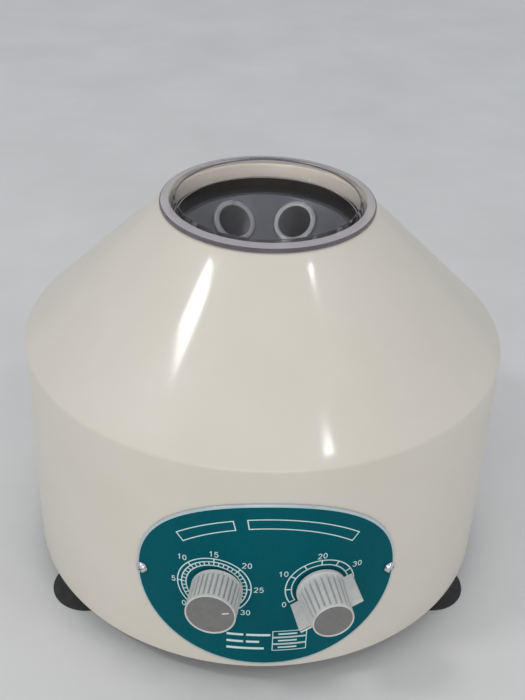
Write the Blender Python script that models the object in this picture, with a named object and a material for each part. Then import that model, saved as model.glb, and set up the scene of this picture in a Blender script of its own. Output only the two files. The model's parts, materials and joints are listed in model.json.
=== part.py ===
"""Benchtop angle-head laboratory centrifuge, built from its separate pieces.

The casing stands on three suction feet. Everything is placed from the spin axis: an empty on that axis
carries every piece, so a height is measured from the table and a radius from the spin axis.
"""

import math

import bmesh
import bpy
from mathutils import Matrix, Vector

MM = 0.001
GAP = 0.3 * MM  # clearance between pieces that touch

# Whole machine
AXIS_Y = 10.08 * MM  # spin axis, behind the middle of the footprint because the knobs stand out in front
CASING_EDGE_Z = 14.0 * MM  # lower edge of the casing above the table

# Casing
CASING_R = 130.0 * MM
WALL = 1.6 * MM
SHOULDER_Z = CASING_EDGE_Z + 130.4 * MM
CONE_SLOPE = 1.015  # radius lost for each unit of height
RIM_Z = CASING_EDGE_Z + 203.3 * MM
COLLAR_R = 51.5 * MM
COLLAR_DEPTH = 9.5 * MM
LIP_R = 104.0 * MM  # inner edge of the turned-in lip that the base plate is fixed to

# Lid
LID_R = 56.3 * MM
LID_EDGE_Z = RIM_Z + 2.6 * MM
LID_TOP_Z = RIM_Z + 4.1 * MM
LID_WELL_R = 47.0 * MM
LID_PLUG_R = 49.4 * MM
LID_FLOOR_Z = RIM_Z - 7.2 * MM
LID_FLOOR = 2.3 * MM

# Base and feet
BASE_R = 127.0 * MM
BASE_THICKNESS = 2.2 * MM
BASE_TOP_Z = CASING_EDGE_Z - GAP
FOOT_COUNT = 3
FOOT_CIRCLE_R = 113.5 * MM
FOOT_R = 20.5 * MM

# Rotor chamber
BOWL_R = 116.2 * MM
BOWL_WALL = 1.2 * MM
BOWL_FLOOR_Z = 106.0 * MM
BOWL_TOP_Z = 150.0 * MM
BOWL_HOLE_R = 26.0 * MM

# Angle head and its sleeves
TUBE_COUNT = 6
TUBE_TILT = math.radians(45)
MOUTH_CIRCLE_R = 34.7 * MM
HEAD_RIM_R = 45.0 * MM
HEAD_RIM_Z = CASING_EDGE_Z + 187.0 * MM
MOUTH_Z = HEAD_RIM_Z - (HEAD_RIM_R - MOUTH_CIRCLE_R)
SLEEVE_R = 10.2 * MM
SLEEVE_BORE_R = 9.15 * MM
SLEEVE_FLANGE_R = 12.2 * MM
SLEEVE_FLANGE = 3.0 * MM
SLEEVE_LENGTH = 92.0 * MM
HUB_R = 12.0 * MM
HUB_TOP_Z = HEAD_RIM_Z - (HEAD_RIM_R - HUB_R)
HUB_BOTTOM_Z = 142.0 * MM

# Motor
SHAFT_R = 5.0 * MM
MOTOR_R = 38.0 * MM
BRACKET_Z = 38.3 * MM
BRACKET_THICKNESS = 2.8 * MM
BRACKET_R = 60.0 * MM
DAMPER_COUNT = 3
DAMPER_CIRCLE_R = 49.0 * MM
CAP_Z = BRACKET_Z + BRACKET_THICKNESS + GAP
HOUSING_Z = 62.3 * MM
HOUSING_TOP_Z = 96.0 * MM
BRUSH_Z = 54.5 * MM
BEARING_R = 11.0 * MM
BEARING_HEIGHT = 7.0 * MM

# Control panel
PLATE_HALF_WIDTH = 67.3 * MM
PLATE_HALF_HEIGHT = 54.0 * MM
PLATE_CENTRE_Z = CASING_EDGE_Z + 57.9 * MM
PLATE_POWER = 2.1  # exponent of the plate's rounded outline
PLATE_THICKNESS = 1.0 * MM
PLATE_SCREW_ANGLE = 63.7 * MM / CASING_R
TIMER_ANGLE = -24.3 * MM / CASING_R
SPEED_ANGLE = 26.2 * MM / CASING_R
DIAL_Z = CASING_EDGE_Z + 57.2 * MM
BUSH_R = 4.7 * MM
BUSH_HOLE_R = 5.2 * MM
BUSH_TOP = CASING_R + 3.4 * MM
CONTROL_FRONT = CASING_R - 3.8 * MM  # flat front of a control behind the curved wall
CONTROL_SHAFT_R = 3.0 * MM
KNOB_BACK = CASING_R + 2.5 * MM
TIMER_FACE = CASING_R + 20.3 * MM
SPEED_FACE = CASING_R + 25.0 * MM
WING_ANGLE = math.radians(27)

# Rear connections
INLET_Z = CASING_EDGE_Z + 32.0 * MM
INLET_BODY = (27.0 * MM, 19.6 * MM)
INLET_FLANGE = (31.0 * MM, 23.4 * MM)
INLET_SOCKET = (24.2 * MM, 16.6 * MM)
INLET_FACE = CASING_R + 2.9 * MM
REAR = math.pi
FUSE_ANGLE = REAR - math.radians(17)


def clear_scene():
    for obj in list(bpy.data.objects):
        bpy.data.objects.remove(obj, do_unlink=True)


def material(name, colour, roughness, metallic=0.0, alpha=1.0):
    made = bpy.data.materials.new(name)
    made.use_nodes = True
    shader = made.node_tree.nodes["Principled BSDF"]
    shader.inputs["Base Color"].default_value = (*colour, 1.0)
    shader.inputs["Roughness"].default_value = roughness
    shader.inputs["Metallic"].default_value = metallic
    shader.inputs["Alpha"].default_value = alpha
    return made


def make_materials():
    return {
        "casing_paint": material("casing_paint", (0.62, 0.60, 0.53), 0.25),
        "clear_plastic": material("clear_plastic", (0.80, 0.80, 0.84), 0.08, alpha=0.35),
        "panel_print": material("panel_print", (0.01, 0.12, 0.14), 0.35, 0.2),
        "knob_plastic": material("knob_plastic", (0.33, 0.34, 0.34), 0.5),
        "black_rubber": material("black_rubber", (0.02, 0.02, 0.022), 0.75),
        "zinc_steel": material("zinc_steel", (0.62, 0.63, 0.64), 0.35, 1.0),
        "screw_chrome": material("screw_chrome", (0.75, 0.76, 0.78), 0.12, 1.0),
        "cast_alloy": material("cast_alloy", (0.36, 0.39, 0.45), 0.4, 0.8),
        "bowl_steel": material("bowl_steel", (0.30, 0.29, 0.26), 0.45, 0.7),
        "sleeve_plastic": material("sleeve_plastic", (0.62, 0.64, 0.67), 0.35),
        "motor_paint": material("motor_paint", (0.16, 0.17, 0.18), 0.45),
        "laminations": material("laminations", (0.22, 0.21, 0.20), 0.5, 0.8),
        "copper": material("copper", (0.72, 0.36, 0.20), 0.35, 1.0),
        "carbon": material("carbon", (0.03, 0.03, 0.03), 0.7),
        "black_plastic": material("black_plastic", (0.03, 0.03, 0.03), 0.4),
        "circuit_board": material("circuit_board", (0.04, 0.22, 0.10), 0.5),
        "lead_sheath": material("lead_sheath", (0.10, 0.10, 0.11), 0.55),
    }


def keep(name, mesh_source, finish, pose=None):
    """Turns a bmesh into a named object on the spin axis, with its faces pointing out."""
    bmesh.ops.remove_doubles(mesh_source, verts=mesh_source.verts, dist=1e-6)
    bmesh.ops.recalc_face_normals(mesh_source, faces=mesh_source.faces)
    mesh = bpy.data.meshes.new(name)
    mesh_source.to_mesh(mesh)
    mesh_source.free()
    mesh.shade_smooth()
    mesh.set_sharp_from_angle(angle=math.radians(35))
    return keep_mesh(name, mesh, finish, pose)


def keep_mesh(name, mesh, finish, pose=None):
    obj = bpy.data.objects.new(name, mesh)
    bpy.context.scene.collection.objects.link(obj)
    obj.parent = AXIS
    if pose is not None:
        obj.matrix_local = pose
    if finish is not None and not mesh.materials:
        mesh.materials.append(FINISH[finish])
    return obj


def around(angle, radius=0.0, height=0.0):
    """Pose of an upright piece at an angle from the front, counted towards the right."""
    return Matrix.Rotation(angle, 4, "Z") @ Matrix.Translation((0, -radius, height))


def outward(angle, height):
    """Pose whose +Z runs radially out from the spin axis, +X to the panel's right and +Y up."""
    tilt = Matrix.Rotation(math.pi / 2, 4, "X")
    return Matrix.Rotation(angle, 4, "Z") @ Matrix.Translation((0, 0, height)) @ tilt


def turned_bmesh(profile, segments):
    """A closed profile of (radius, height) points spun round the Z axis."""
    made = bmesh.new()
    points = [made.verts.new((radius, 0, height)) for radius, height in profile]
    on_axis = profile[0][0] == 0 and profile[-1][0] == 0
    pairs = list(zip(points, points[1:] + points[:1]))
    edges = [made.edges.new(pair) for pair in (pairs[:-1] if on_axis else pairs)]
    bmesh.ops.spin(
        made, geom=points + edges, axis=(0, 0, 1), cent=(0, 0, 0),
        steps=segments, angle=2 * math.pi, use_merge=True,
    )
    return made


def turned(name, profile, finish, segments=32, pose=None):
    return keep(name, turned_bmesh(profile, segments), finish, pose)


def prism_bmesh(outline, low, high, top_scale=1.0):
    """A flat outline extruded from low to high along Z, its far end scaled about the axis."""
    made = bmesh.new()
    face = made.faces.new([made.verts.new((x, y, low)) for x, y in outline])
    grown = bmesh.ops.extrude_face_region(made, geom=[face])["geom"]
    top = [item for item in grown if isinstance(item, bmesh.types.BMVert)]
    for vertex in top:
        vertex.co.x *= top_scale
        vertex.co.y *= top_scale
        vertex.co.z = high
    return made


def prism(name, outline, low, high, finish, pose=None, top_scale=1.0):
    return keep(name, prism_bmesh(outline, low, high, top_scale), finish, pose)


def box_outline(width, height, x=0.0, y=0.0):
    half_x, half_y = width / 2, height / 2
    return [
        (x - half_x, y - half_y), (x + half_x, y - half_y),
        (x + half_x, y + half_y), (x - half_x, y + half_y),
    ]


def polygon(sides, radius, turn=0.0):
    steps = [turn + 2 * math.pi * step / sides for step in range(sides)]
    return [(radius * math.cos(step), radius * math.sin(step)) for step in steps]


def toothed_outline(teeth, outer, inner, share=0.5):
    """Round outline with evenly spaced ribs: share is the rib's part of the pitch."""
    pitch = 2 * math.pi / teeth
    outline = []
    for tooth in range(teeth):
        start = tooth * pitch
        corners = ((0.0, outer), (share, outer), (share + 0.12, inner), (0.88, inner))
        outline += [(r * math.cos(start + f * pitch), r * math.sin(start + f * pitch)) for f, r in corners]
    return outline


def combine(target, other, operation):
    """Joins other into target, or cuts it away, and hides the helper."""
    modifier = target.modifiers.new(f"{operation.lower()}_{other.name}", "BOOLEAN")
    modifier.operation = operation
    modifier.solver = "EXACT"
    modifier.object = other
    other.hide_render = True
    other.display_type = "WIRE"


def cut(target, *helpers):
    for helper in helpers:
        combine(target, helper, "DIFFERENCE")


def join(target, *helpers):
    for helper in helpers:
        combine(target, helper, "UNION")


def drill(name, radius, low, high, pose=None, segments=16):
    """Cylinder helper along its own Z axis, turned half a step off the corners of a ring."""
    return prism(name, polygon(segments, radius, math.pi / segments), low, high, None, pose)


def block(name, outline, low, high, pose=None):
    return prism(name, outline, low, high, None, pose)


def arc(centre_r, centre_z, radius, start, end, steps):
    """Points of a round stretch of a profile, from one angle to another in degrees."""
    angles = [math.radians(start + (end - start) * step / steps) for step in range(steps + 1)]
    return [(centre_r + radius * math.cos(a), centre_z + radius * math.sin(a)) for a in angles]


def cone_radius(height, inset=0.0):
    """Radius of the casing's cone at a height, or of its inner face."""
    slant = math.hypot(1.0, CONE_SLOPE)
    return CASING_R - CONE_SLOPE * (height - SHOULDER_Z) - inset * slant


def cone_height(radius, inset=0.0):
    slant = math.hypot(1.0, CONE_SLOPE)
    return SHOULDER_Z + (CASING_R - inset * slant - radius) / CONE_SLOPE


def make_casing():
    """Spun sheet-metal cylinder and cone in one piece, with a rolled neck and a turned-in lower lip."""
    inner_r = CASING_R - WALL
    under_rim = RIM_Z - WALL
    collar_outer = COLLAR_R + WALL
    shoulder_drop = 2.5 * MM
    roll_start = RIM_Z - 1.5 * MM
    profile = [
        (LIP_R, CASING_EDGE_Z), (CASING_R - 1.2 * MM, CASING_EDGE_Z), (CASING_R, CASING_EDGE_Z + 1.2 * MM),
        (CASING_R, SHOULDER_Z - shoulder_drop),
        (CASING_R - 0.55 * MM, SHOULDER_Z - 0.1 * MM),
        (cone_radius(SHOULDER_Z + 2 * MM), SHOULDER_Z + 2 * MM),
        (cone_radius(roll_start), roll_start),
        (cone_radius(roll_start) - 0.9 * MM, RIM_Z - 0.4 * MM),
        (cone_radius(roll_start) - 1.9 * MM, RIM_Z),
        (COLLAR_R + 0.8 * MM, RIM_Z), (COLLAR_R, RIM_Z - 0.8 * MM), (COLLAR_R, RIM_Z - COLLAR_DEPTH),
        (collar_outer, RIM_Z - COLLAR_DEPTH), (collar_outer, under_rim),
        (cone_radius(under_rim, WALL), under_rim),
        (inner_r, cone_height(inner_r, WALL)),
        (inner_r, CASING_EDGE_Z + WALL), (LIP_R, CASING_EDGE_Z + WALL),
    ]
    casing = turned("casing", profile, "casing_paint", 52)
    near, far = CASING_R - 12 * MM, CASING_R + 6 * MM
    for side, sign, dial in (("left", -1, TIMER_ANGLE), ("right", 1, SPEED_ANGLE)):
        cut(casing, drill(f"dial_hole_{side}", BUSH_HOLE_R, near, far, outward(dial, DIAL_Z)))
        screw_pose = outward(sign * PLATE_SCREW_ANGLE, PLATE_CENTRE_Z)
        cut(casing, drill(f"plate_screw_hole_{side}", 1.9 * MM, near, far, screw_pose, 12))
    width, height = INLET_BODY
    window = box_outline(width + 2 * GAP, height + 2 * GAP)
    cut(casing, block("inlet_window", window, near, far, outward(REAR, INLET_Z)))
    cut(casing, drill("fuse_hole", 6.3 * MM, near, far, outward(FUSE_ANGLE, INLET_Z)))
    for number in range(FOOT_COUNT):
        low, high = CASING_EDGE_Z - 2 * MM, CASING_EDGE_Z + 4 * MM
        cut(casing, drill(f"lip_hole_{number}", 2.9 * MM, low, high, foot_pose(number), 10))


def foot_pose(number):
    """The feet stand at 60 and -60 degrees from the front and at the rear."""
    return around(math.radians(60 + 120 * number), FOOT_CIRCLE_R)


def make_base_plate():
    """Flat disc under the casing's lip, with air holes under the motor fan."""
    low = BASE_TOP_Z - BASE_THICKNESS
    plate = prism("base_plate", polygon(48, BASE_R), low, BASE_TOP_Z, "zinc_steel")
    for number in range(FOOT_COUNT):
        hole = drill(f"base_foot_hole_{number}", 2.9 * MM, low - MM, BASE_TOP_Z + MM, foot_pose(number), 10)
        cut(plate, hole)
    for number in range(6):
        pose = around(2 * math.pi * number / 6, 22 * MM)
        cut(plate, drill(f"air_hole_{number}", 6 * MM, low - MM, BASE_TOP_Z + MM, pose, 12))


def make_feet():
    """Rubber suction feet, each on a screw that also holds the base plate to the casing's lip."""
    names = ("front_right", "rear", "front_left")
    top = BASE_TOP_Z - BASE_THICKNESS - GAP
    cup = [
        (2.9 * MM, top), (13 * MM, top), (14 * MM, top - 1 * MM), (14 * MM, top - 3 * MM),
        (12.8 * MM, top - 4.5 * MM), (14.6 * MM, 4.2 * MM),
        (FOOT_R - 0.6 * MM, 1.6 * MM), (FOOT_R, 0.8 * MM),
        (FOOT_R, 0), (17 * MM, 0), (12.5 * MM, 2.4 * MM), (2.9 * MM, 3.4 * MM),
    ]
    head = CASING_EDGE_Z + WALL + GAP
    screw = [
        (0, head + 3.2 * MM), (3.2 * MM, head + 3.2 * MM), (4.8 * MM, head + 1.6 * MM), (4.8 * MM, head),
        (2.5 * MM, head), (2.5 * MM, 4.6 * MM), (0, 4.6 * MM),
    ]
    for number, name in enumerate(names):
        turned(f"foot_{name}", cup, "black_rubber", 18, foot_pose(number))
        turned(f"foot_screw_{name}", screw, "zinc_steel", 10, foot_pose(number))


def make_guard_bowl():
    """Drawn steel bowl round the rotor, whose flange is spot-welded under the casing's cone."""
    inner = BOWL_R - BOWL_WALL
    floor_top = BOWL_FLOOR_Z + BOWL_WALL
    flange_r = cone_radius(BOWL_TOP_Z, WALL) - GAP - 0.2 * MM
    profile = [
        (inner, BOWL_TOP_Z), (flange_r, BOWL_TOP_Z), (flange_r, BOWL_TOP_Z - BOWL_WALL),
        (BOWL_R, BOWL_TOP_Z - BOWL_WALL), *arc(BOWL_R - 8 * MM, BOWL_FLOOR_Z + 8 * MM, 8 * MM, 0, -90, 3),
        (BOWL_HOLE_R, BOWL_FLOOR_Z), (BOWL_HOLE_R, floor_top),
        *arc(inner - 7 * MM, floor_top + 7 * MM, 7 * MM, -90, 0, 3),
    ]
    turned("guard_bowl", profile, "bowl_steel", 32)


def make_motor_boot():
    """Rubber ring that closes the bowl's middle hole round the motor's neck."""
    top = BOWL_FLOOR_Z + BOWL_WALL
    rim = BOWL_HOLE_R + 4 * MM
    profile = [
        (16.4 * MM, top + 3 * MM), (20 * MM, top + 3 * MM), (23 * MM, top + 1.6 * MM), (rim, top + 1.6 * MM),
        (rim, top + GAP), (BOWL_HOLE_R - GAP, top + GAP), (BOWL_HOLE_R - GAP, BOWL_FLOOR_Z - 1 * MM),
        (23.5 * MM, BOWL_FLOOR_Z - 1 * MM), (20.5 * MM, top + 0.6 * MM), (16.4 * MM, top + 0.6 * MM),
    ]
    turned("motor_boot", profile, "black_rubber", 20)


def make_motor_mount():
    """Bracket on three rubber dampers, each held by a bolt from above."""
    hole = 3.4 * MM
    high = BRACKET_Z + BRACKET_THICKNESS
    profile = [(14 * MM, high), (BRACKET_R, high), (BRACKET_R, BRACKET_Z), (14 * MM, BRACKET_Z)]
    bracket = turned("motor_bracket", profile, "zinc_steel", 40)
    low = BASE_TOP_Z + GAP
    top = BRACKET_Z - GAP
    middle = (low + top) / 2
    damper = [
        (hole, top), (9 * MM, top), (9 * MM, top - 4 * MM), (6.8 * MM, middle),
        (9 * MM, low + 4 * MM), (9 * MM, low),
        (hole, low),
    ]
    head = high + GAP
    bolt = [
        (0, head + 3.6 * MM), (4.2 * MM, head + 3.6 * MM), (5.2 * MM, head + 2.6 * MM), (5.2 * MM, head),
        (3 * MM, head), (3 * MM, low + 0.6 * MM), (0, low + 0.6 * MM),
    ]
    for number in range(DAMPER_COUNT):
        pose = around(2 * math.pi * number / DAMPER_COUNT, DAMPER_CIRCLE_R)
        cut(bracket, drill(f"bracket_hole_{number}", hole, BRACKET_Z - MM, high + MM, pose, 10))
        turned(f"motor_damper_{number + 1}", damper, "black_rubber", 12, pose)
        turned(f"damper_bolt_{number + 1}", bolt, "zinc_steel", 8, pose)


def make_motor_body():
    """Brushed motor: lower cap, housing and upper cap round the field laminations."""
    seat = BEARING_R + GAP
    cap_top = HOUSING_Z - GAP
    lower = [
        (seat, CAP_Z), (MOTOR_R, CAP_Z), (MOTOR_R, cap_top), (MOTOR_R - 4 * MM, cap_top),
        (MOTOR_R - 4 * MM, CAP_Z + 5 * MM), (16 * MM, CAP_Z + 5 * MM), (16 * MM, CAP_Z + 7.4 * MM),
        (seat, CAP_Z + 7.4 * MM),
    ]
    cap = turned("motor_lower_cap", lower, "cast_alloy", 24)
    for side, sign in (("left", -1), ("right", 1)):
        pose = outward(sign * math.pi / 2, BRUSH_Z)
        cut(cap, drill(f"brush_hole_{side}", 4.8 * MM, MOTOR_R - 8 * MM, MOTOR_R + 4 * MM, pose, 20))
    inner = MOTOR_R - 3 * MM
    housing = [(inner, HOUSING_TOP_Z), (MOTOR_R, HOUSING_TOP_Z), (MOTOR_R, HOUSING_Z), (inner, HOUSING_Z)]
    turned("motor_housing", housing, "motor_paint", 24)
    low = HOUSING_TOP_Z + GAP
    neck_top = BOWL_FLOOR_Z + 5 * MM
    upper = [
        (seat, neck_top), (16 * MM, neck_top), (16 * MM, low + 4.5 * MM), (32 * MM, low + 4.5 * MM),
        (MOTOR_R, low + 2.5 * MM), (MOTOR_R, low), (seat, low),
    ]
    turned("motor_upper_cap", upper, "cast_alloy", 24)
    field_r = MOTOR_R - 3 * MM - GAP
    field = [
        (22.4 * MM, HOUSING_TOP_Z - 5 * MM), (field_r, HOUSING_TOP_Z - 5 * MM),
        (field_r, HOUSING_Z + 4 * MM), (22.4 * MM, HOUSING_Z + 4 * MM),
    ]
    turned("field_stator", field, "laminations", 24)


def make_bearings():
    """Sealed ball bearings, each bought and fitted as one unit."""
    bore = SHAFT_R + GAP
    for name, low in (("lower", CAP_Z + 0.2 * MM), ("upper", HOUSING_TOP_Z + 2.2 * MM)):
        high = low + BEARING_HEIGHT
        profile = [(bore, high), (BEARING_R, high), (BEARING_R, low), (bore, low)]
        turned(f"{name}_bearing", profile, "screw_chrome", 24)


def make_brushes():
    """Carbon brush and its screw cap on each side of the commutator."""
    for side, sign in (("left", -1), ("right", 1)):
        pose = outward(sign * math.pi / 2, BRUSH_Z)
        prism(f"brush_{side}", box_outline(6 * MM, 6 * MM), 11.6 * MM, MOTOR_R - 5 * MM, "carbon", pose)
        cap = [
            (0, MOTOR_R + 4 * MM), (6 * MM, MOTOR_R + 4 * MM), (6.6 * MM, MOTOR_R + 3.2 * MM),
            (6.6 * MM, MOTOR_R + 1 * MM), (4.5 * MM, MOTOR_R + 1 * MM), (4.5 * MM, MOTOR_R - 4.6 * MM),
            (0, MOTOR_R - 4.6 * MM),
        ]
        turned(f"brush_cap_{side}", cap, "black_plastic", 16, pose)


def make_spinning_core():
    """Shaft with the armature, commutator and fan that turn with it."""
    bore = SHAFT_R + GAP
    nut_thread = 4.0 * MM
    shoulder = HUB_BOTTOM_Z - GAP
    shaft = [
        (0, HUB_TOP_Z + 9 * MM), (nut_thread - 0.6 * MM, HUB_TOP_Z + 9 * MM),
        (nut_thread, HUB_TOP_Z + 8.2 * MM),
        (nut_thread, HUB_TOP_Z), (SHAFT_R, HUB_TOP_Z - 1 * MM), (SHAFT_R, shoulder), (8.5 * MM, shoulder),
        (8.5 * MM, shoulder - 4 * MM), (SHAFT_R, shoulder - 5 * MM), (SHAFT_R, 20 * MM), (0, 20 * MM),
    ]
    turned("motor_shaft", shaft, "zinc_steel", 16)
    core_low, core_high = HOUSING_Z + 5 * MM, HOUSING_TOP_Z - 6 * MM
    core_outline = toothed_outline(12, 21.8 * MM, 15 * MM, 0.7)
    core = prism("armature_core", core_outline, core_low, core_high, "laminations")
    cut(core, drill("armature_bore", bore, core_low - MM, core_high + MM))
    low = CAP_Z + 8.4 * MM
    commutator = [(bore, low + 9 * MM), (11.2 * MM, low + 9 * MM), (11.2 * MM, low), (bore, low)]
    turned("commutator", commutator, "copper", 24)
    make_fan(bore)


def make_fan(bore):
    """Cooling fan on the lower end of the shaft: a disc with radial blades."""
    low = 22 * MM
    disc = [
        (bore, low + 12 * MM), (8.5 * MM, low + 12 * MM), (8.5 * MM, low + 2 * MM), (30 * MM, low + 2 * MM),
        (30 * MM, low), (bore, low),
    ]
    fan = turned("motor_fan", disc, "black_plastic", 24)
    for number in range(8):
        pose = around(2 * math.pi * number / 8)
        outline = box_outline(2 * MM, 21 * MM, 0, -18 * MM)
        join(fan, block(f"fan_blade_{number}", outline, low + 1 * MM, low + 10 * MM, pose))


def tube_pose(number):
    """Pose of a sleeve: +Z points up out of its mouth, which leans in towards the spin axis."""
    turn = math.pi / 2 + 2 * math.pi * number / TUBE_COUNT
    lean = Matrix.Rotation(-TUBE_TILT, 4, "X")
    return around(turn, MOUTH_CIRCLE_R, MOUTH_Z) @ lean


def make_angle_head():
    """Cast angle head: a dished top with six holes square to its 45 degree face."""
    bottom_z = 148 * MM
    outer_r = 76 * MM
    outer_z = HEAD_RIM_Z - (outer_r - HEAD_RIM_R - 3 * MM)
    profile = [
        (SHAFT_R + GAP, HUB_TOP_Z), (HUB_R, HUB_TOP_Z),
        (HEAD_RIM_R, HEAD_RIM_Z), (HEAD_RIM_R + 3 * MM, HEAD_RIM_Z),
        (outer_r, outer_z), (outer_r - (outer_z - bottom_z), bottom_z),
        (16 * MM, bottom_z), (16 * MM, HUB_BOTTOM_Z),
        (SHAFT_R + GAP, HUB_BOTTOM_Z),
    ]
    head = turned("angle_head", profile, "cast_alloy", 36)
    hole_r, seat_r = SLEEVE_R + 0.4 * MM, SLEEVE_FLANGE_R + 0.5 * MM
    cutter = [
        (0, 12 * MM), (seat_r, 12 * MM), (seat_r, -GAP), (hole_r, -GAP), (hole_r, -70 * MM), (0, -70 * MM),
    ]
    for number in range(TUBE_COUNT):
        cut(head, turned(f"sleeve_hole_{number}", cutter, None, 14, tube_pose(number)))


def make_sleeves():
    """Round-bottomed sleeves that hang by their flanges in the angle head."""
    tip = -SLEEVE_LENGTH
    profile = [
        (SLEEVE_BORE_R, SLEEVE_FLANGE), (SLEEVE_FLANGE_R - 0.6 * MM, SLEEVE_FLANGE),
        (SLEEVE_FLANGE_R, SLEEVE_FLANGE - 0.6 * MM), (SLEEVE_FLANGE_R, 0), (SLEEVE_R, 0),
        *arc(0, tip + SLEEVE_R, SLEEVE_R, 0, -90, 3)[:-1], (0, tip),
        (0, tip + SLEEVE_R - SLEEVE_BORE_R),
        *arc(0, tip + SLEEVE_R, SLEEVE_BORE_R, -90, 0, 3)[1:],
    ]
    outline = profile[7:] + profile[:8]
    for number in range(TUBE_COUNT):
        turned(f"tube_sleeve_{number + 1}", outline[1:], "sleeve_plastic", 14, tube_pose(number))


def make_rotor_nut():
    """Hexagonal cap nut that holds the angle head on the shaft."""
    low = HUB_TOP_Z + GAP
    nut = prism("rotor_nut", polygon(6, 8 * MM), low, low + 9 * MM, "screw_chrome")
    dome = [
        (0, low + 13 * MM), (4.5 * MM, low + 11.6 * MM), (6.4 * MM, low + 9 * MM),
        (6.4 * MM, low + 5 * MM), (0, low + 5 * MM),
    ]
    join(nut, turned("nut_dome", dome, None, 24))
    cut(nut, drill("nut_bore", 4.3 * MM, low - 2 * MM, HUB_TOP_Z + 9.6 * MM))


def make_lid():
    """Clear lid: a flange on the rim and a shallow well that drops into the neck."""
    under = RIM_Z + GAP
    floor_under = LID_FLOOR_Z
    floor_top = floor_under + LID_FLOOR
    profile = [
        (0, floor_top), (LID_WELL_R - 2.2 * MM, floor_top), (LID_WELL_R - 0.7 * MM, floor_top + 0.7 * MM),
        (LID_WELL_R, floor_top + 2.2 * MM), (LID_WELL_R + 0.8 * MM, LID_TOP_Z - 0.5 * MM),
        (LID_WELL_R + 1.4 * MM, LID_TOP_Z), (LID_R - 0.7 * MM, LID_EDGE_Z), (LID_R, LID_EDGE_Z - 0.7 * MM),
        (LID_R, under + 0.4 * MM), (LID_R - 0.4 * MM, under), (LID_PLUG_R + 1.2 * MM, under),
        (LID_PLUG_R, floor_under + 1.6 * MM), (LID_PLUG_R - 1.4 * MM, floor_under), (0, floor_under),
    ]
    turned("lid", profile, "clear_plastic", 36)


def plate_edge(angle):
    """Point of the panel plate's rounded outline, as (arc length, height) from its centre."""
    power = 2 / PLATE_POWER
    cosine, sine = math.cos(angle), math.sin(angle)
    across = math.copysign(abs(cosine) ** power, cosine)
    up = math.copysign(abs(sine) ** power, sine)
    return PLATE_HALF_WIDTH * across, PLATE_HALF_HEIGHT * up


def on_wall(radius, turn, height):
    """Point at an angle from the front, at a radius from the spin axis."""
    return radius * math.sin(turn), -radius * math.cos(turn), height


def make_panel_plate():
    """Thin printed plate wrapped on the casing's wall, with holes for its screws and the two controls."""
    made = bmesh.new()
    columns = 28
    inner_r = CASING_R + GAP
    outer_r = inner_r + PLATE_THICKNESS
    grid = []
    for column in range(columns + 1):
        angle = math.pi * (1 - column / columns)
        across, up = plate_edge(angle)
        heights = [-up, up] if 0 < column < columns else [0.0]
        grid.append([(across / CASING_R, PLATE_CENTRE_Z + height) for height in heights])
    sheets = []
    for radius in (inner_r, outer_r):
        sheets.append([
            [made.verts.new(on_wall(radius, turn, height)) for turn, height in column]
            for column in grid
        ])
    for sheet in sheets:
        for left, right in zip(sheet, sheet[1:]):
            made.faces.new(left[:1] + right + left[1:])
    inner, outer = sheets
    rim_inner = [column[0] for column in inner] + [column[-1] for column in inner[-2:0:-1]]
    rim_outer = [column[0] for column in outer] + [column[-1] for column in outer[-2:0:-1]]
    for index, corner in enumerate(rim_inner):
        after = (index + 1) % len(rim_inner)
        made.faces.new((corner, rim_inner[after], rim_outer[after], rim_outer[index]))
    plate = keep("panel_plate", made, "panel_print")
    near, far = CASING_R - 6 * MM, CASING_R + 6 * MM
    for side, sign, dial in (("left", -1, TIMER_ANGLE), ("right", 1, SPEED_ANGLE)):
        dial_pose = outward(dial, DIAL_Z)
        screw_pose = outward(sign * PLATE_SCREW_ANGLE, PLATE_CENTRE_Z)
        cut(plate, drill(f"plate_dial_hole_{side}", BUSH_HOLE_R, near, far, dial_pose))
        cut(plate, drill(f"plate_fixing_hole_{side}", 1.9 * MM, near, far, screw_pose, 12))


def make_plate_screws():
    """Pan-head screws with a cross recess, through the plate into the casing."""
    low = CASING_R + GAP + PLATE_THICKNESS + GAP
    profile = [
        (0, low + 2.1 * MM), (1.6 * MM, low + 2.0 * MM),
        (2.7 * MM, low + 1.4 * MM), (3.2 * MM, low + 0.5 * MM),
        (3.2 * MM, low), (1.6 * MM, low), (1.6 * MM, CASING_R - 8 * MM), (0, CASING_R - 8 * MM),
    ]
    for side, sign in (("left", -1), ("right", 1)):
        pose = outward(sign * PLATE_SCREW_ANGLE, PLATE_CENTRE_Z)
        screw = turned(f"plate_screw_{side}", profile, "screw_chrome", 12, pose)
        for turn, slot in enumerate((box_outline(3.6 * MM, 0.8 * MM), box_outline(0.8 * MM, 3.6 * MM))):
            cut(screw, block(f"recess_{side}_{turn}", slot, low + 1.0 * MM, low + 4 * MM, pose))


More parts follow.
